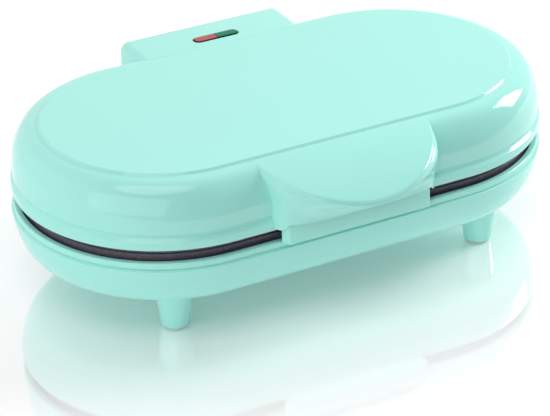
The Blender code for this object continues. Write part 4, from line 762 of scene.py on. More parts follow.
def plan_ring(out, up):
    """One ring round the body's plan"""
    points = []
    for end in (1, -1):
        for step in range(ARC_STEPS + 1):
            turn = math.pi * (step / ARC_STEPS - 0.5)
            points.append((end * (HALF_STRAIGHT + out * math.cos(turn)), end * out * math.sin(turn), up))
        for step in range(1, SIDE_STEPS):
            points.append((end * HALF_STRAIGHT * (1 - 2 * step / SIDE_STEPS), end * out, up))
    return points


def led_round(profile):
    return solid(lofted([plan_ring(out, up) for out, up in profile]))


def prism(outline, low, high):
    """An upright solid over an (x, y) outline"""
    return solid(lofted([[(x, y, z) for x, y in outline] for z in (low, high)]))


def box(low, high):
    bm = bmesh.new()
    bmesh.ops.create_cube(bm, size=1)
    low, high = Vector(low), Vector(high)
    bmesh.ops.scale(bm, vec=high - low, verts=bm.verts[:])
    bmesh.ops.translate(bm, vec=(low + high) / 2, verts=bm.verts[:])
    return bm


def rod(radius, bottom, top, place, turn=None):
    """A plain rod along Z, turned and moved to its place"""
    bm = bmesh.new()
    ends = {"radius1": radius, "radius2": radius, "depth": top - bottom}
    bmesh.ops.create_cone(bm, cap_ends=True, segments=TURN_STEPS, **ends)
    bmesh.ops.translate(bm, vec=(0, 0, (top + bottom) / 2), verts=bm.verts[:])
    return settled(bm, place, turn)


def rods(radius, bottom, top, places, turn=None):
    return [rod(radius, bottom, top, place, turn) for place in places]


def settled(bm, place, turn=None):
    if turn:
        bmesh.ops.rotate(bm, cent=(0, 0, 0), matrix=turn, verts=bm.verts[:])
    bmesh.ops.translate(bm, vec=place, verts=bm.verts[:])
    return solid(bm)


def turned(profile, place):
    """A solid turned round Z from (out, up) points, its first and last point on the axis"""
    rings = []
    for out, up in profile[1:-1]:
        angles = [2 * math.pi * step / TURN_STEPS for step in range(TURN_STEPS)]
        rings.append([(out * math.cos(angle), out * math.sin(angle), up) for angle in angles])
    return settled(lofted(rings), place)


def ellipse_fall(inner, top, out, down, steps, start=0.0, power=2.0):
    """(out, up) points of a quarter round from its outer end to its inner end"""
    points = []
    for step in range(steps + 1):
        turn = start + (math.pi / 2 - start) * step / steps
        reach = inner + out * math.cos(turn) ** (2 / power) if step < steps else inner
        points.append((reach, top + down * math.sin(turn) ** (2 / power)))
    return points


def gathered(objects):
    """Several separate solids as one tool"""
    whole = bmesh.new()
    for obj in objects:
        whole.from_mesh(obj.data)
        bpy.data.objects.remove(obj)
    return solid(whole)


def add(tool):
    return ("UNION", tool)


def cut(tool):
    return ("DIFFERENCE", tool)


def worked(target, *steps):
    """The target after each (operation, tool) step, as a plain mesh"""
    scene = bpy.context.scene.collection.objects
    scene.link(target)
    tools = []
    for operation, tool in steps:
        scene.link(tool)
        modifier = target.modifiers.new("work", "BOOLEAN")
        modifier.operation = operation
        modifier.solver = "EXACT"
        modifier.object = tool
        tools.append(tool)
    graph = bpy.context.evaluated_depsgraph_get()
    mesh = bpy.data.meshes.new_from_object(target.evaluated_get(graph))
    for obj in [target] + tools:
        bpy.data.objects.remove(obj)
    return bpy.data.objects.new("worked", mesh)


def dress(obj, name, finish, body, slot, *nodes):
    """Names a finished piece, moves it to the row's origin, hangs it on the body it rides on and hides the
    CAD nodes it stands for
    """
    obj.name = name
    obj.data.name = name
    obj.data.transform(Matrix.Translation((0, BODY_SHIFT, 0)))
    bpy.context.scene.collection.objects.link(obj)
    coat(obj, finish)
    obj.data.shade_smooth()
    obj.data.set_sharp_from_angle(angle=SMOOTH_ANGLE)
    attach(obj, body)
    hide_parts(*nodes)


def coat(obj, finish):
    obj.data.materials.clear()
    obj.data.materials.append(finish.material)


def paint(finish, *nodes):
    """Gives CAD nodes that stay their finish"""
    for node in nodes:
        coat(frame["nodes"][node], finish)


# Fine forms of the mouldings


def eased(profile, steps=EASE_STEPS):
    """An open line through (a, b, radius) points with each inner corner rounded by its own radius"""
    points = []
    for i, (a, b, radius) in enumerate(profile):
        if not radius:
            points.append((a, b))
            continue
        corner = Vector((a, b))
        back = (Vector(profile[i - 1][:2]) - corner).normalized()
        ahead = (Vector(profile[(i + 1) % len(profile)][:2]) - corner).normalized()
        half_angle = back.angle(ahead) / 2
        centre = corner + (back + ahead).normalized() * radius / math.sin(half_angle)
        start = corner + back * radius / math.tan(half_angle) - centre
        end = corner + ahead * radius / math.tan(half_angle) - centre
        sweep = math.atan2(start.x * end.y - start.y * end.x, start.dot(end))
        first = math.atan2(start.y, start.x)
        for step in range(steps + 1):
            turn = first + sweep * step / steps
            points.append((centre.x + radius * math.cos(turn), centre.y + radius * math.sin(turn)))
    return points


def rectangle(half_x, low_y, high_y, radius, steps=ROUND_STEPS):
    corners = [(-half_x, low_y), (half_x, low_y), (half_x, high_y), (-half_x, high_y)]
    return eased([(x, y, radius) for x, y in corners], steps)


def mix(first, second, share):
    return first + (second - first) * share


# Lid


def lid_profile(skirt=0.0):
    """The lid's outer wall from the panel down to the bead; a skirt carries the bead straight down"""
    ledge_z = LID_TOP - PANEL_BEVEL_DOWN
    panel = [
        (PANEL_RADIUS - 6 * PANEL_EDGE, LID_TOP, 0),
        (PANEL_RADIUS, LID_TOP, 3 * PANEL_EDGE),
        (PANEL_RADIUS + PANEL_BEVEL_OUT, ledge_z, 2 * PANEL_EDGE),
        (SHOULDER_INNER, SHOULDER_TOP, 0),
    ]
    rise = SHOULDER_TOP - SHOULDER_Z
    shoulder = ellipse_fall(
        SHOULDER_INNER, SHOULDER_Z, SHOULDER_OUT, rise, SHOULDER_STEPS, power=SHOULDER_SQUARENESS
    )
    cove_top = LID_RIM + BEAD_HEIGHT + COVE_HEIGHT
    bead_top = LID_RIM + BEAD_HEIGHT
    foot = [
        (LID_RADIUS, cove_top + COVE_DEPTH, 0),
        (LID_RADIUS, cove_top, COVE_DEPTH),
        (LID_RADIUS - COVE_DEPTH, cove_top - COVE_HEIGHT / 3, COVE_DEPTH),
        (LID_RADIUS - COVE_DEPTH, bead_top + COVE_HEIGHT / 3, COVE_DEPTH),
        (BEAD_RADIUS - COVE_DEPTH, bead_top, COVE_DEPTH / 2),
        (BEAD_RADIUS, bead_top - COVE_DEPTH, COVE_DEPTH / 2),
    ]
    if skirt:
        foot.append((BEAD_RADIUS, LID_RIM - skirt, 0))
    else:
        foot.append((BEAD_RADIUS, LID_RIM, BEAD_ROUND / 2))
        foot.append((BEAD_RADIUS - BEAD_ROUND, LID_RIM, 0))
    return eased(panel) + shoulder[::-1][1:] + eased(foot)


def lid_space_profile():
    ledge = SEAM + LEDGE_DEPTH
    inner = LID_RADIUS - WALL
    rise = LID_TOP - WALL - SHOULDER_Z
    shoulder = ellipse_fall(
        SHOULDER_INNER - WALL, SHOULDER_Z, SHOULDER_OUT, rise, HIDDEN_STEPS, power=SHOULDER_SQUARENESS
    )
    foot = [
        (inner, ledge + LEDGE_HEIGHT + LEDGE_SLOPE),
        (LEDGE_INNER, ledge + LEDGE_HEIGHT),
        (LEDGE_INNER, ledge),
        (RIM_INNER, ledge),
        (RIM_INNER, LID_RIM - OVERRUN),
    ]
    return shoulder[::-1] + foot


def hood_outline(share, inset=0.0):
    """The hood's plan between its top edge (share 0) and its foot (1), from left to right"""
    half = mix(HOOD_TOP_HALF, HOOD_FOOT_HALF, share) - inset
    depth = mix(HOOD_TOP_HALF, HOOD_FOOT_DEPTH, share) - inset
    middle = mix(HOOD_TOP_MIDDLE, HOOD_FOOT_MIDDLE, share)
    power = 2 / mix(2, HOOD_FOOT_SQUARENESS, share)
    points = [(-half, -HOOD_BACK)]
    for step in range(HOOD_STEPS + 1):
        turn = math.pi * step / HOOD_STEPS
        side = abs(math.cos(turn)) ** power if step * 2 != HOOD_STEPS else 0
        x = -math.copysign(half * side, math.cos(turn))
        points.append((x, -middle - depth * math.sin(turn) ** power))
    points[1] = (-half, -middle)
    points[-1] = (half, -middle)
    return points + [(half, -HOOD_BACK)]


def hood_top(y):
    """Height of the hood's top face, which falls away and rolls down to the front"""
    share = max(0.0, (-y - HOOD_FALL_START) / (HANDLE_REACH - HOOD_FALL_START))
    return HOOD_TOP - HOOD_FALL * share - HOOD_ROLL * share ** 2


def hood_side(share, lift=0.0, inset=0.0):
    """One ring of the hood's side, drawn in below the edge"""
    ring = []
    drawn = 1 - (1 - share) ** HOOD_DRAW
    for (x, y), (_, edge_y) in zip(hood_outline(drawn, inset), hood_outline(0)):
        top = hood_top(edge_y) - HOOD_EDGE
        ring.append((x, y, mix(top, HOOD_FOOT, share) + lift))
    return ring


def rung_capped(rings):
    """A loft whose first ring is closed by rungs from side to side, because that face rolls"""
    bm = lofted(rings)
    bm.faces.ensure_lookup_table()
    bm.faces.remove(bm.faces[-2])
    bm.verts.ensure_lookup_table()
    loop = bm.verts[: len(rings[0])]
    last = len(loop) - 1
    for i in range(last // 2):
        rung = [loop[i], loop[i + 1], loop[last - i - 1], loop[last - i]]
        if i + 1 == last - i - 1:
            rung.pop(2)
        bm.faces.new(rung)
    return solid(bm)


def hood():
    rings = []
    for inset, drop in quarter_round(HOOD_EDGE, HOOD_EDGE_STEPS):
        rings.append([(x, y, hood_top(y) - drop) for x, y in hood_outline(0, inset)])
    for step in range(1, HOOD_SIDE_STEPS + 1):
        rings.append(hood_side((step / HOOD_SIDE_STEPS) ** HOOD_CROWDING))
    return rung_capped(rings)


def hood_space():
    """The hollow of the hood, open below, clear of the lid's own wall"""
    rings = [[(x, y, hood_top(y) - HOOD_WALL) for x, y in hood_outline(POCKET_CURL_share, HOOD_WALL)]]
    for share in (POCKET_CURL_share, POCKET_BEND_share):
        height = 1 - (1 - share) ** (1 / HOOD_DRAW)
        rings.append(hood_side(height, HOOD_WALL / 2, HOOD_WALL))
    rings.append([(x, y, HOOD_FOOT - OVERRUN) for x, y in hood_outline(1, HOOD_WALL)])
    guard = led_round(lid_profile(2 * OVERRUN))
    guard.data.transform(Matrix.Diagonal((1 + FIT / BODY_RADIUS, 1 + FIT / BODY_RADIUS, 1, 1)))
    return worked(rung_capped(rings), cut(guard))


def skirt_arch():
    """The raised middle of the skirt's lower edge, with rounded shoulders, led from front to back"""
    top = TAB_TOP + ARCH_CLEARANCE
    bottom = HOOD_FOOT - OVERRUN
    flare = ARCH_SPREAD * (top - bottom) / (top - HOOD_FOOT)
    outline = eased(
        [
            (-ARCH_HALF - flare, bottom, 0),
            (ARCH_HALF + flare, bottom, 0),
            (ARCH_HALF, top, ARCH_ROUND),
            (-ARCH_HALF, top, ARCH_ROUND),
        ],
        ROUND_STEPS,
    )
    ends = (-HANDLE_REACH - OVERRUN, -TAB_BACK)
    return solid(lofted([[(x, y, z) for x, z in outline] for y in ends]))


def tab_ring(z, front, half, back_half, back):
    corners = [(-back_half, -back), (-half, -front), (half, -front), (back_half, -back)]
    return [(x, y, z) for x, y in eased([(x, y, TAB_CORNER / 2) for x, y in corners])]


def tab_relief():
    top = TAB_TOP + ARCH_CLEARANCE - FIT
    place = (TAB_FRONT + RUN, TAB_HALF + RUN, TAB_BACK_HALF + RUN, TAB_BACK - RUN)
    return solid(lofted([tab_ring(z, *place) for z in (HOOD_FOOT - OVERRUN, top)]))


def rear_block():
    bm = box((-BLOCK_HALF, BLOCK_START, BLOCK_BOTTOM), (BLOCK_HALF, HINGE_REACH, BLOCK_TOP))
    for vert in bm.verts:
        if vert.co.z > BLOCK_BOTTOM + WALL:
            vert.co.x = math.copysign(BLOCK_HALF - BLOCK_DRAFT, vert.co.x)
            vert.co.y = min(vert.co.y, HINGE_REACH - BLOCK_DRAFT)
    sides = [edge for edge in bm.edges if edge_middle(edge).z > BLOCK_TOP - WALL and not across(edge)]
    bevelled(bm, sides, BLOCK_SIDE_EDGE)
    rear = [edge for edge in bm.edges if all(vert.co.y > HINGE_REACH - WALL for vert in edge.verts)]
    rear = [edge for edge in rear if edge_middle(edge).z > BLOCK_BOTTOM + FIT]
    return solid(bevelled(bm, rear, BLOCK_EDGE))


def edge_middle(edge):
    return (edge.verts[0].co + edge.verts[1].co) / 2


def edge_way(edge):
    return (edge.verts[1].co - edge.verts[0].co).normalized()


def upright(edge):
    return abs(edge_way(edge).z) > ALONG_share


def across(edge):
    return abs(edge_way(edge).x) > ALONG_share


def bevelled(bm, edges, radius):
    bmesh.ops.bevel(
        bm, geom=edges, offset=radius, segments=ROUND_STEPS, profile=0.5, affect="EDGES", clamp_overlap=True
    )
    return bm


def hinge_cheek(side):
    top = BLOCK_BOTTOM + WALL
    outline = [(HINGE_REACH, top), (HINGE_Y - BARREL_RADIUS, top)]
    for step in range(CHEEK_STEPS + 1):
        turn = math.pi * (1 + step / CHEEK_STEPS)
        outline.append((HINGE_Y + BARREL_RADIUS * math.cos(turn), HINGE_Z + BARREL_RADIUS * math.sin(turn)))
    ends = sorted((side * CHEEK_INNER, side * CHEEK_OUTER))
    return solid(lofted([[(end, y, z) for y, z in outline] for end in ends]))


ACROSS = Matrix.Rotation(math.pi / 2, 3, "Y")
TO_REAR = Matrix.Rotation(-math.pi / 2, 3, "X")


def plate_mount(side, root):
    """The two screw bosses behind a plate, rooted at a depth behind the seam, and then their bores"""
    boss = sorted((level(side, BOSS_TOP), level(side, root)))
    bore = sorted((level(side, BOSS_TOP - OVERRUN), level(side, BOSS_TOP + SCREW_GRIP + FIT)))
    bores = rods(SCREW_RADIUS + FIT, *bore, SCREW_SPOTS)
    return add(gathered(rods(BOSS_RADIUS, *boss, SCREW_SPOTS))), cut(gathered(bores))


def make_lid():
    half = BLOCK_HALF - BLOCK_DRAFT - BLOCK_WALL
    rear = HINGE_REACH - BLOCK_DRAFT - BLOCK_WALL
    lamp_room = box((-half, BLOCK_START, LAMP_FLOOR), (half, rear, LAMP_CEILING))
    slot = rectangle(LENS_LENGTH / 2, -LENS_WIDTH / 2, LENS_WIDTH / 2, LENS_CORNER)
    middle = LENS_Y - LENS_SHIFT
    slot = [(LENS_X + x, middle + y) for x, y in slot]
    pocket_half = CHEEK_INNER - POCKET_STEP
    pocket = box(
        (-pocket_half, BEAD_RADIUS + FIT, HINGE_Z - BARREL_RADIUS),
        (pocket_half, HINGE_REACH - BLOCK_DRAFT - BLOCK_WALL / 2, POCKET_CEILING),
    )
    screws = [(x, LENS_Y, 0) for x in both(HOLDER_SCREW_X)]
    holder = HOLDER_TOP + FIT
    bore = SMALL_SCREW_RADIUS + FIT
    pins = [(x, HINGE_Y, HINGE_Z) for x in both(CHEEK_OUTER)]
    reach = CHEEK_THICKNESS + OVERRUN / 2
    depth = PIN_HEAD_HEIGHT + PIN_SINK + FIT
    return worked(
        led_round(lid_profile()),
        add(hood()),
        add(rear_block()),
        add(gathered([hinge_cheek(side) for side in both(1)])),
        cut(led_round(lid_space_profile())),
        cut(hood_space()),
        cut(skirt_arch()),
        cut(tab_relief()),
        cut(solid(lamp_room)),
        cut(prism(slot, LAMP_CEILING - OVERRUN, BLOCK_TOP + OVERRUN)),
        add(gathered(rods(HOLDER_BOSS_RADIUS, holder, LAMP_CEILING + WALL / 2, screws))),
        cut(gathered(rods(bore, holder - OVERRUN, holder + SMALL_SCREW_GRIP, screws))),
        cut(solid(pocket)),
        cut(gathered(rods(PIN_RADIUS + FIT, -reach, reach, pins, ACROSS))),
        cut(gathered(rods(PIN_HEAD + FIT, -depth, depth, pins, ACROSS))),
        *plate_mount(1, LID_TOP - WALL / 2 - SEAM),
    )


# Base


def base_profile():
    ridge_start = math.asin((BASE_ROUND_Z - RIDGE_Z) / BASE_ROUND_DOWN)
    sweep = ellipse_fall(
        BASE_FLAT_RADIUS, BASE_ROUND_Z, BASE_ROUND_OUT, -BASE_ROUND_DOWN, BASE_STEPS, ridge_start
    )
    groove = RIM_RADIUS - GROOVE_DEPTH
    rim = [
        (RIM_INNER - WALL, BASE_RIM, 0),
        (RIM_RADIUS, BASE_RIM, LIP_CHAMFER),
        (RIM_RADIUS, BASE_RIM - LIP_HEIGHT, GROOVE_DEPTH / 2),
        (groove, BASE_RIM - LIP_HEIGHT - GROOVE_DEPTH / 2, 0),
    ]
    return eased(rim) + sweep


def base_space_profile():
    ledge = SEAM - LEDGE_DEPTH
    down = BASE_ROUND_DOWN - WALL
    slope_bottom = ledge - LEDGE_HEIGHT - LEDGE_SLOPE
    start = math.asin((BASE_ROUND_Z - slope_bottom) / down)
    sweep = ellipse_fall(BASE_FLAT_RADIUS, BASE_ROUND_Z, BASE_ROUND_OUT - WALL, -down, HIDDEN_STEPS, start)
    top = [
        (RIM_INNER, BASE_RIM + OVERRUN),
        (RIM_INNER, ledge),
        (LEDGE_INNER, ledge),
        (LEDGE_INNER, ledge - LEDGE_HEIGHT),
    ]
    return top + sweep


def leg(place):
    """A tapered foot, round at the bottom"""
    top = LEG_HEIGHT + LEG_SINK
    profile = [
        (LEG_TOP_RADIUS, top, 0),
        (LEG_FOOT_RADIUS, LEG_LIFT, LEG_SOFTNESS),
        (PAD_RADIUS / 2, LEG_LIFT, 0),
    ]
    return turned([(0, top)] + eased(profile) + [(0, LEG_LIFT)], place)


def leg_core(place):
    top = BASE_FLOOR + OVERRUN
    bottom = PAD_HEIGHT + FIT + LEG_WALL
    foot = LEG_FOOT_RADIUS - LEG_WALL
    return turned([(0, top), (LEG_TOP_RADIUS - LEG_WALL, top), (foot, bottom), (0, bottom)], place)


def tab_under(z):
    """The tab's outline at a height on its underside, which slopes in to the wall"""
    inset = TAB_UNDER_IN * (TAB_FACE_BOTTOM - z) / TAB_UNDER_DEPTH
    return TAB_FRONT - TAB_LIP_EDGE - inset, TAB_HALF - inset / 2, TAB_BACK_HALF


def front_tab():
    """The tab: an upright face with soft edges in front of the lid's rim, its underside sloping in"""
    root_top = BASE_RIM - TAB_STEP
    bottom = TAB_FACE_BOTTOM - TAB_UNDER_DEPTH
    rings = [
        tab_ring(bottom, *tab_under(bottom), TAB_ROOT),
        tab_ring(root_top, *tab_under(root_top), TAB_ROOT),
        tab_ring(root_top + FIT, *tab_under(root_top + FIT), TAB_BACK),
    ]
    for inset, rise in quarter_round(TAB_LIP_EDGE, EASE_STEPS):
        place = (TAB_FRONT - inset, TAB_HALF - inset, TAB_BACK_HALF, TAB_BACK)
        rings.append(tab_ring(TAB_FACE_BOTTOM + rise, *place))
    for drop, inset in quarter_round(TAB_EDGE, EASE_STEPS):
        place = (TAB_FRONT - inset, TAB_HALF - inset, TAB_BACK_HALF - inset, TAB_BACK)
        rings.append(tab_ring(TAB_TOP - drop, *place))
    return solid(lofted(rings))


def base_rear_block():
    bm = box((-BARREL_HALF, REAR_START, LEG_HEIGHT), (BARREL_HALF, REAR_FACE, BASE_RIM - FIT))
    edges = []
    for edge in bm.edges:
        middle = edge_middle(edge)
        low = abs(edge.verts[1].co.x - edge.verts[0].co.x) > BARREL_HALF and middle.z < BASE_FLOOR
        if middle.y > REAR_START + WALL and (upright(edge) or low):
            edges.append(edge)
    return solid(bevelled(bm, edges, REAR_EDGE))


def make_base():
    legs = [(x, y, 0) for y in both(LEG_Y) for x in both(LEG_X)]
    half = BARREL_HALF - WALL
    hollow = box((-half, REAR_START + WALL, BASE_FLOOR), (half, REAR_FACE - WALL, REAR_CEILING))
    pins = [(x, HINGE_Y, HINGE_Z) for x in both(BARREL_HALF)]
    pin_reach = PIN_DEPTH + FIT
    bush = (CLAMP_X, REAR_FACE, BUSH_Z)
    under = LEG_HEIGHT - OVERRUN
    recess_top = LEG_HEIGHT + COVER_RECESS
    recess = rectangle(COVER_HALF, COVER_FRONT, COVER_REAR, COVER_CORNER)
    opening = rectangle(COVER_OPENING_HALF, COVER_FRONT + COVER_LAND, COVER_REAR - COVER_LAND, COVER_CORNER)
    clamp_top = REAR_CEILING - CLAMP_CORD_ROOM
    clamp_spots = [(CLAMP_X + x, CLAMP_Y, 0) for x in both(CLAMP_SCREW_X)]
    cover_spots = [(x, COVER_SCREW_Y, 0) for x in both(COVER_SCREW_X)]
    terminal_spot = (TERMINAL_X, TERMINAL_Y, 0)
    bosses = rods(CLAMP_WIDTH / 2, clamp_top, REAR_CEILING + WALL / 2, clamp_spots)
    bosses += rods(COVER_BOSS_RADIUS, BASE_FLOOR - WALL / 4, BASE_FLOOR + COVER_BOSS_HEIGHT, cover_spots)
    bore = SMALL_SCREW_RADIUS + FIT
    bores = rods(bore, clamp_top - OVERRUN, clamp_top + SMALL_SCREW_GRIP + FIT, clamp_spots)
    bores += rods(bore, under, recess_top + SMALL_SCREW_GRIP + FIT, cover_spots)
    bores.append(rod(bore, REAR_CEILING - OVERRUN, REAR_CEILING + TERMINAL_SCREW_GRIP + FIT, terminal_spot))
    return worked(
        led_round(base_profile()),
        add(base_rear_block()),
        add(rod(BARREL_RADIUS, -BARREL_HALF, BARREL_HALF, (0, HINGE_Y, HINGE_Z), ACROSS)),
        add(front_tab()),
        add(gathered([leg(place) for place in legs])),
        cut(led_round(base_space_profile())),
        cut(solid(hollow)),
        cut(gathered([leg_core(place) for place in legs])),
        cut(gathered(rods(PAD_RADIUS + FIT, LEG_LIFT - OVERRUN, PAD_HEIGHT + FIT, legs))),
        cut(gathered(rods(PIN_RADIUS + FIT, -pin_reach, pin_reach, pins, ACROSS))),
        cut(rod(BUSH_FLANGE_RADIUS + FIT, -BUSH_RECESS, OVERRUN, bush, TO_REAR)),
        cut(rod(BUSH_NECK_RADIUS + FIT, -WALL - OVERRUN, OVERRUN, bush, TO_REAR)),
        add(gathered(bosses)),
        cut(prism(recess, under, recess_top)),
        cut(prism(opening, under, BASE_FLOOR + OVERRUN)),
        cut(gathered(bores)),
        *plate_mount(-1, SEAM - BASE_FLOOR + WALL / 2),
    )


# Waffle plates


def level(side, depth):
    """Height of a depth behind the seam, in the base (side -1) or in the lid (side 1)"""
    return SEAM + side * depth


def heart_outline(grow=0.0):
    """One heart with its tip towards the rosette's middle, (along, across) its axis"""
    radius = HEART_LOBE_RADIUS + grow
    cleft = math.acos(HEART_LOBE_SIDE / radius) - math.pi / 2
    lobe = []
    for step in range(LOBE_STEPS + 1):
        turn = mix(HEART_FLARE + math.pi / 2, cleft, step / LOBE_STEPS)
        along = HEART_LOBE_OUT + radius * math.cos(turn)
        lobe.append((along, HEART_LOBE_SIDE + radius * math.sin(turn)))
    lobe[-1] = (lobe[-1][0], 0.0)
    tip = (HEART_TIP - grow / math.sin(HEART_FLARE), 0.0)
    return [tip] + lobe + [(along, -across) for along, across in reversed(lobe[:-1])]


def heart_holds(along, across):
    """Whether a point lies on a heart's floor with the pegs' margin round it"""
    shrink = HEART_DRAFT + PEG_MARGIN
    side = (along - HEART_TIP) * math.sin(HEART_FLARE) - abs(across) * math.cos(HEART_FLARE)
    in_wedge = side >= shrink and along <= HEART_LOBE_OUT
    lobe = math.hypot(along - HEART_LOBE_OUT, abs(across) - HEART_LOBE_SIDE)
    return in_wedge or lobe <= HEART_LOBE_RADIUS - shrink


def heart_angle(heart):
    return math.pi / 2 + heart * 2 * math.pi / HEARTS


def flower_outline(grow=0.0):
    """The scalloped outline round the five hearts, made of arcs about the lobes' centres"""
    radius = HEART_LOBE_RADIUS + FLOWER_GROW + grow
    lobe_angle = math.atan2(HEART_LOBE_SIDE, HEART_LOBE_OUT)
    lobe_reach = math.hypot(HEART_LOBE_SIDE, HEART_LOBE_OUT)
    cleft_turn = math.acos(HEART_LOBE_SIDE / radius)
    gap_turn = math.acos(min(1.0, lobe_reach * math.sin(math.pi / HEARTS - lobe_angle) / radius))
    outline = []
    for heart in range(HEARTS):
        axis = heart_angle(heart)
        for side in (-1, 1):
            centre_angle = axis + side * lobe_angle
            towards_cleft = axis - side * (math.pi / 2 - cleft_turn)
            towards_gap = axis + side * (math.pi / HEARTS + math.pi / 2 - gap_turn)
            ends = (towards_gap, towards_cleft) if side < 0 else (towards_cleft, towards_gap)
            for step in range(FLOWER_STEPS):
                turn = mix(*ends, step / FLOWER_STEPS)
                x = lobe_reach * math.cos(centre_angle) + radius * math.cos(turn)
                outline.append((x, lobe_reach * math.sin(centre_angle) + radius * math.sin(turn)))
    return outline


def turned_outline(outline, angle, x):
    """An outline turned about a rosette's middle at x"""
    cosine, sine = math.cos(angle), math.sin(angle)
    return [(x + u * cosine - v * sine, u * sine + v * cosine) for u, v in outline]


def stacked(layers, angle, x):
    """A solid over (outline, height) layers, turned about a rosette's middle"""
    rings = [[(px, py, z) for px, py in turned_outline(outline, angle, x)] for outline, z in layers]
    return solid(lofted(rings))


def rosette_places():
    return [(x, heart_angle(heart)) for x in both(HALF_STRAIGHT) for heart in range(HEARTS)]


def peg_places():
    """Centres of the pegs of one heart, along and across its axis"""
    half = PEG_BASE / 2
    for row in range(PEG_ROWS):
        along = PEG_FIRST + row * PEG_PITCH
        for column in range(-PEG_COLUMNS_ASIDE, PEG_COLUMNS_ASIDE + 1):
            across = column * PEG_PITCH
            corners = [(along + i * half, across + j * half) for i in (-1, 1) for j in (-1, 1)]
            if all(heart_holds(*corner) for corner in corners):
                yield along, across


def square(along, across, size):
    """A peg's outline with its corners a little rounded"""
    half = size / 2
    return [(along + x, across + y) for x, y in rectangle(half, -half, half, PEG_CORNER, PEG_STEPS)]


def peg(along, across, side, angle, x):
    foot = level(side, PLATE_FACE + HEART_DEPTH + OVERRUN / 3)
    head = PLATE_FACE + PEG_DROP
    soft = PEG_CORNER / 2
    layers = [
        (square(along, across, PEG_BASE), foot),
        (square(along, across, PEG_TOP), level(side, head + soft)),
        (square(along, across, PEG_TOP - soft), level(side, head + soft / 4)),
        (square(along, across, PEG_TOP - 2 * soft), level(side, head)),
    ]
    return stacked(layers, angle, x)


def make_plate(side):
    floor, face, beyond = (level(side, depth) for depth in (PLATE_FACE + HEART_DEPTH, PLATE_FACE, -OVERRUN))
    heart = [(heart_outline(-HEART_DRAFT), floor), (heart_outline(), face), (heart_outline(), beyond)]
    hearts = [stacked(heart, angle, x) for x, angle in rosette_places()]
    step = level(side, PLATE_FACE + FLOWER_DEPTH)
    flower = [(flower_outline(-PLATE_CHAMFER), step), (flower_outline(), beyond)]
    flowers = [stacked(flower, 0, x) for x in both(HALF_STRAIGHT)]
    pegs = [peg(*spot, side, angle, x) for x, angle in rosette_places() for spot in peg_places()]
    radius = NECK_RADIUS - BACK_RIB
    ends = sorted((level(side, PLATE_BACK + OVERRUN), level(side, PLATE_BACK - BACK_POCKET_DEPTH)))
    low, high = ends[0] - OVERRUN, ends[1] + OVERRUN
    pads = rods(BACK_PAD_RADIUS, low, high, [(x, 0, 0) for x in both(HALF_STRAIGHT)])
    pads += rods(BOSS_RADIUS, low, high, SCREW_SPOTS)
    pocket = led_round([(radius, ends[0]), (radius, ends[1])])
    depths = [
        (PLATE_RADIUS - PLATE_CHAMFER, PLATE_FACE),
        (PLATE_RADIUS, PLATE_FACE + PLATE_CHAMFER),
        (PLATE_RADIUS, PLATE_SEAT),
        (NECK_RADIUS, PLATE_SEAT),
        (NECK_RADIUS, PLATE_BACK),
    ]
    seat = PLATE_FACE + SCREW_SINK + SCREW_HEAD_HEIGHT / 3
    room = [
        (0, -OVERRUN),
        (SCREW_HEAD + FIT, -OVERRUN),
        (SCREW_HEAD + FIT, seat),
        (SCREW_RADIUS + FIT, seat + SCREW_HEAD_HEIGHT),
        (SCREW_RADIUS + FIT, SHIELD_BACK + OVERRUN),
        (0, SHIELD_BACK + OVERRUN),
    ]
    room = [(out, level(side, depth)) for out, depth in room]
    return worked(
        led_round([(out, level(side, depth)) for out, depth in depths]),
        cut(gathered(flowers)),
        cut(gathered(hearts)),
        add(gathered(pegs)),
        cut(worked(pocket, cut(gathered(pads)))),
        cut(gathered([turned(room, spot) for spot in SCREW_SPOTS])),
    )


# Lenses


def half_lens(side, outer, width, corner):
    """Half of the lens in plan, square at the middle and rounded at its outer end"""
    outline = [(x, y) for x, y in rectangle(outer, -width, width, corner) if x > 0]
    outline += [(FIT / 2, width), (FIT / 2, -width)]
    return [(side * x, y) for x, y in outline]


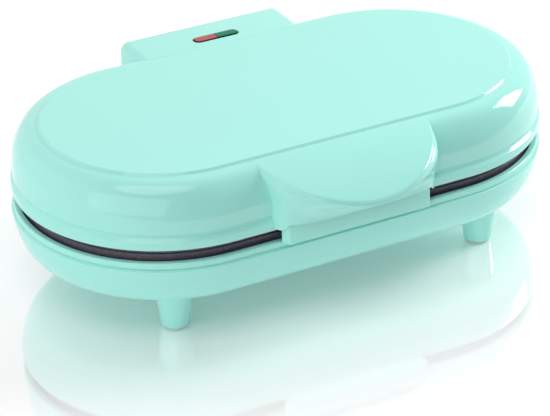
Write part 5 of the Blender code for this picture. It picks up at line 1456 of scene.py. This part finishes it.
def make_lens(side):
    """Half of the indicator lens with a softly domed top and a flange under the block's top"""
    width = LENS_WIDTH / 2 - FIT
    outer = LENS_LENGTH / 2 - FIT
    top = BLOCK_TOP + LENS_RISE
    shelf = LAMP_CEILING - FIT
    rings = [[(x, y, shelf - FIT) for x, y in half_lens(side, outer, width, LENS_CORNER - FIT)]]
    for drop, inset in quarter_round(LENS_EDGE, LENS_EDGE_STEPS):
        outline = half_lens(side, outer - inset, width - inset, LENS_CORNER - FIT - inset)
        rings.append([(x, y, top - drop) for x, y in outline])
    near, far = sorted((side * FIT / 2, side * (outer + LENS_FLANGE)))
    flange = box((near, -width - LENS_FLANGE, LENS_BOTTOM), (far, width + LENS_FLANGE, shelf))
    lens = worked(solid(lofted(rings)), add(solid(flange)))
    lens.data.transform(Matrix.Translation((LENS_X, LENS_Y - LENS_SHIFT, 0)))
    return lens


def dress_pieces():
    mint = moulded_plastic("mint_gloss", MINT, roughness=0.10)
    coating = coated_metal("plate_coating")
    dress(make_base(), "base_housing", mint, "base", "mint_plastic", "base_shell")
    dress(make_lid(), "lid_housing", mint, "lid", "mint_plastic", "lid_shell")
    dress(make_plate(-1), "lower_waffle_plate", coating, "base", "coated_plate", "lower_plate")
    dress(make_plate(1), "upper_waffle_plate", coating, "lid", "coated_plate", "upper_plate")
    red = clear_plastic("power_red", LENS_RED)
    green = clear_plastic("ready_green", LENS_GREEN)
    dress(make_lens(-1), "power_window", red, "lid", "red_lens", "power_lens")
    dress(make_lens(1), "ready_window", green, "lid", "green_lens", "ready_lens")


# Finishes of the pieces that stay


def finish_carried_nodes():
    nodes = frame["nodes"]
    steel = bare_steel("plain_steel", shade(196, 198, 200), roughness=0.32)
    sheet = bare_steel("sheet_steel", shade(206, 208, 210), roughness=0.38)
    black = matt_polymer("black_polymer", shade(32, 33, 36), roughness=0.55)
    ceramic = matt_polymer("insulating_block", shade(236, 230, 216), roughness=0.6)
    rubber = matt_polymer("foot_rubber", shade(188, 206, 200), roughness=0.75)
    glass = moulded_plastic("lamp_glass", shade(226, 214, 200), roughness=0.08)
    paint(moulded_plastic("mint_cover", MINT, roughness=0.30), "wiring_cover")
    paint(sheet, "lower_heat_shield", "upper_heat_shield")
    paint(black, "thermostat", "cord_bush", "cord_clamp", "lamp_holder")
    paint(ceramic, "terminal_block")
    paint(rubber, *[n for n in nodes if n.startswith("foot_pad")])
    paint(steel, *[n for n in nodes if "screw" in n or "pin" in n or "element" in n or n == "thermal_fuse"])
    paint(glass, "power_lamp", "ready_lamp")


bpy.context.scene.view_settings.view_transform = "Standard"
place_camera()
light_studio()
lay_floor()
finish_carried_nodes()
dress_pieces()
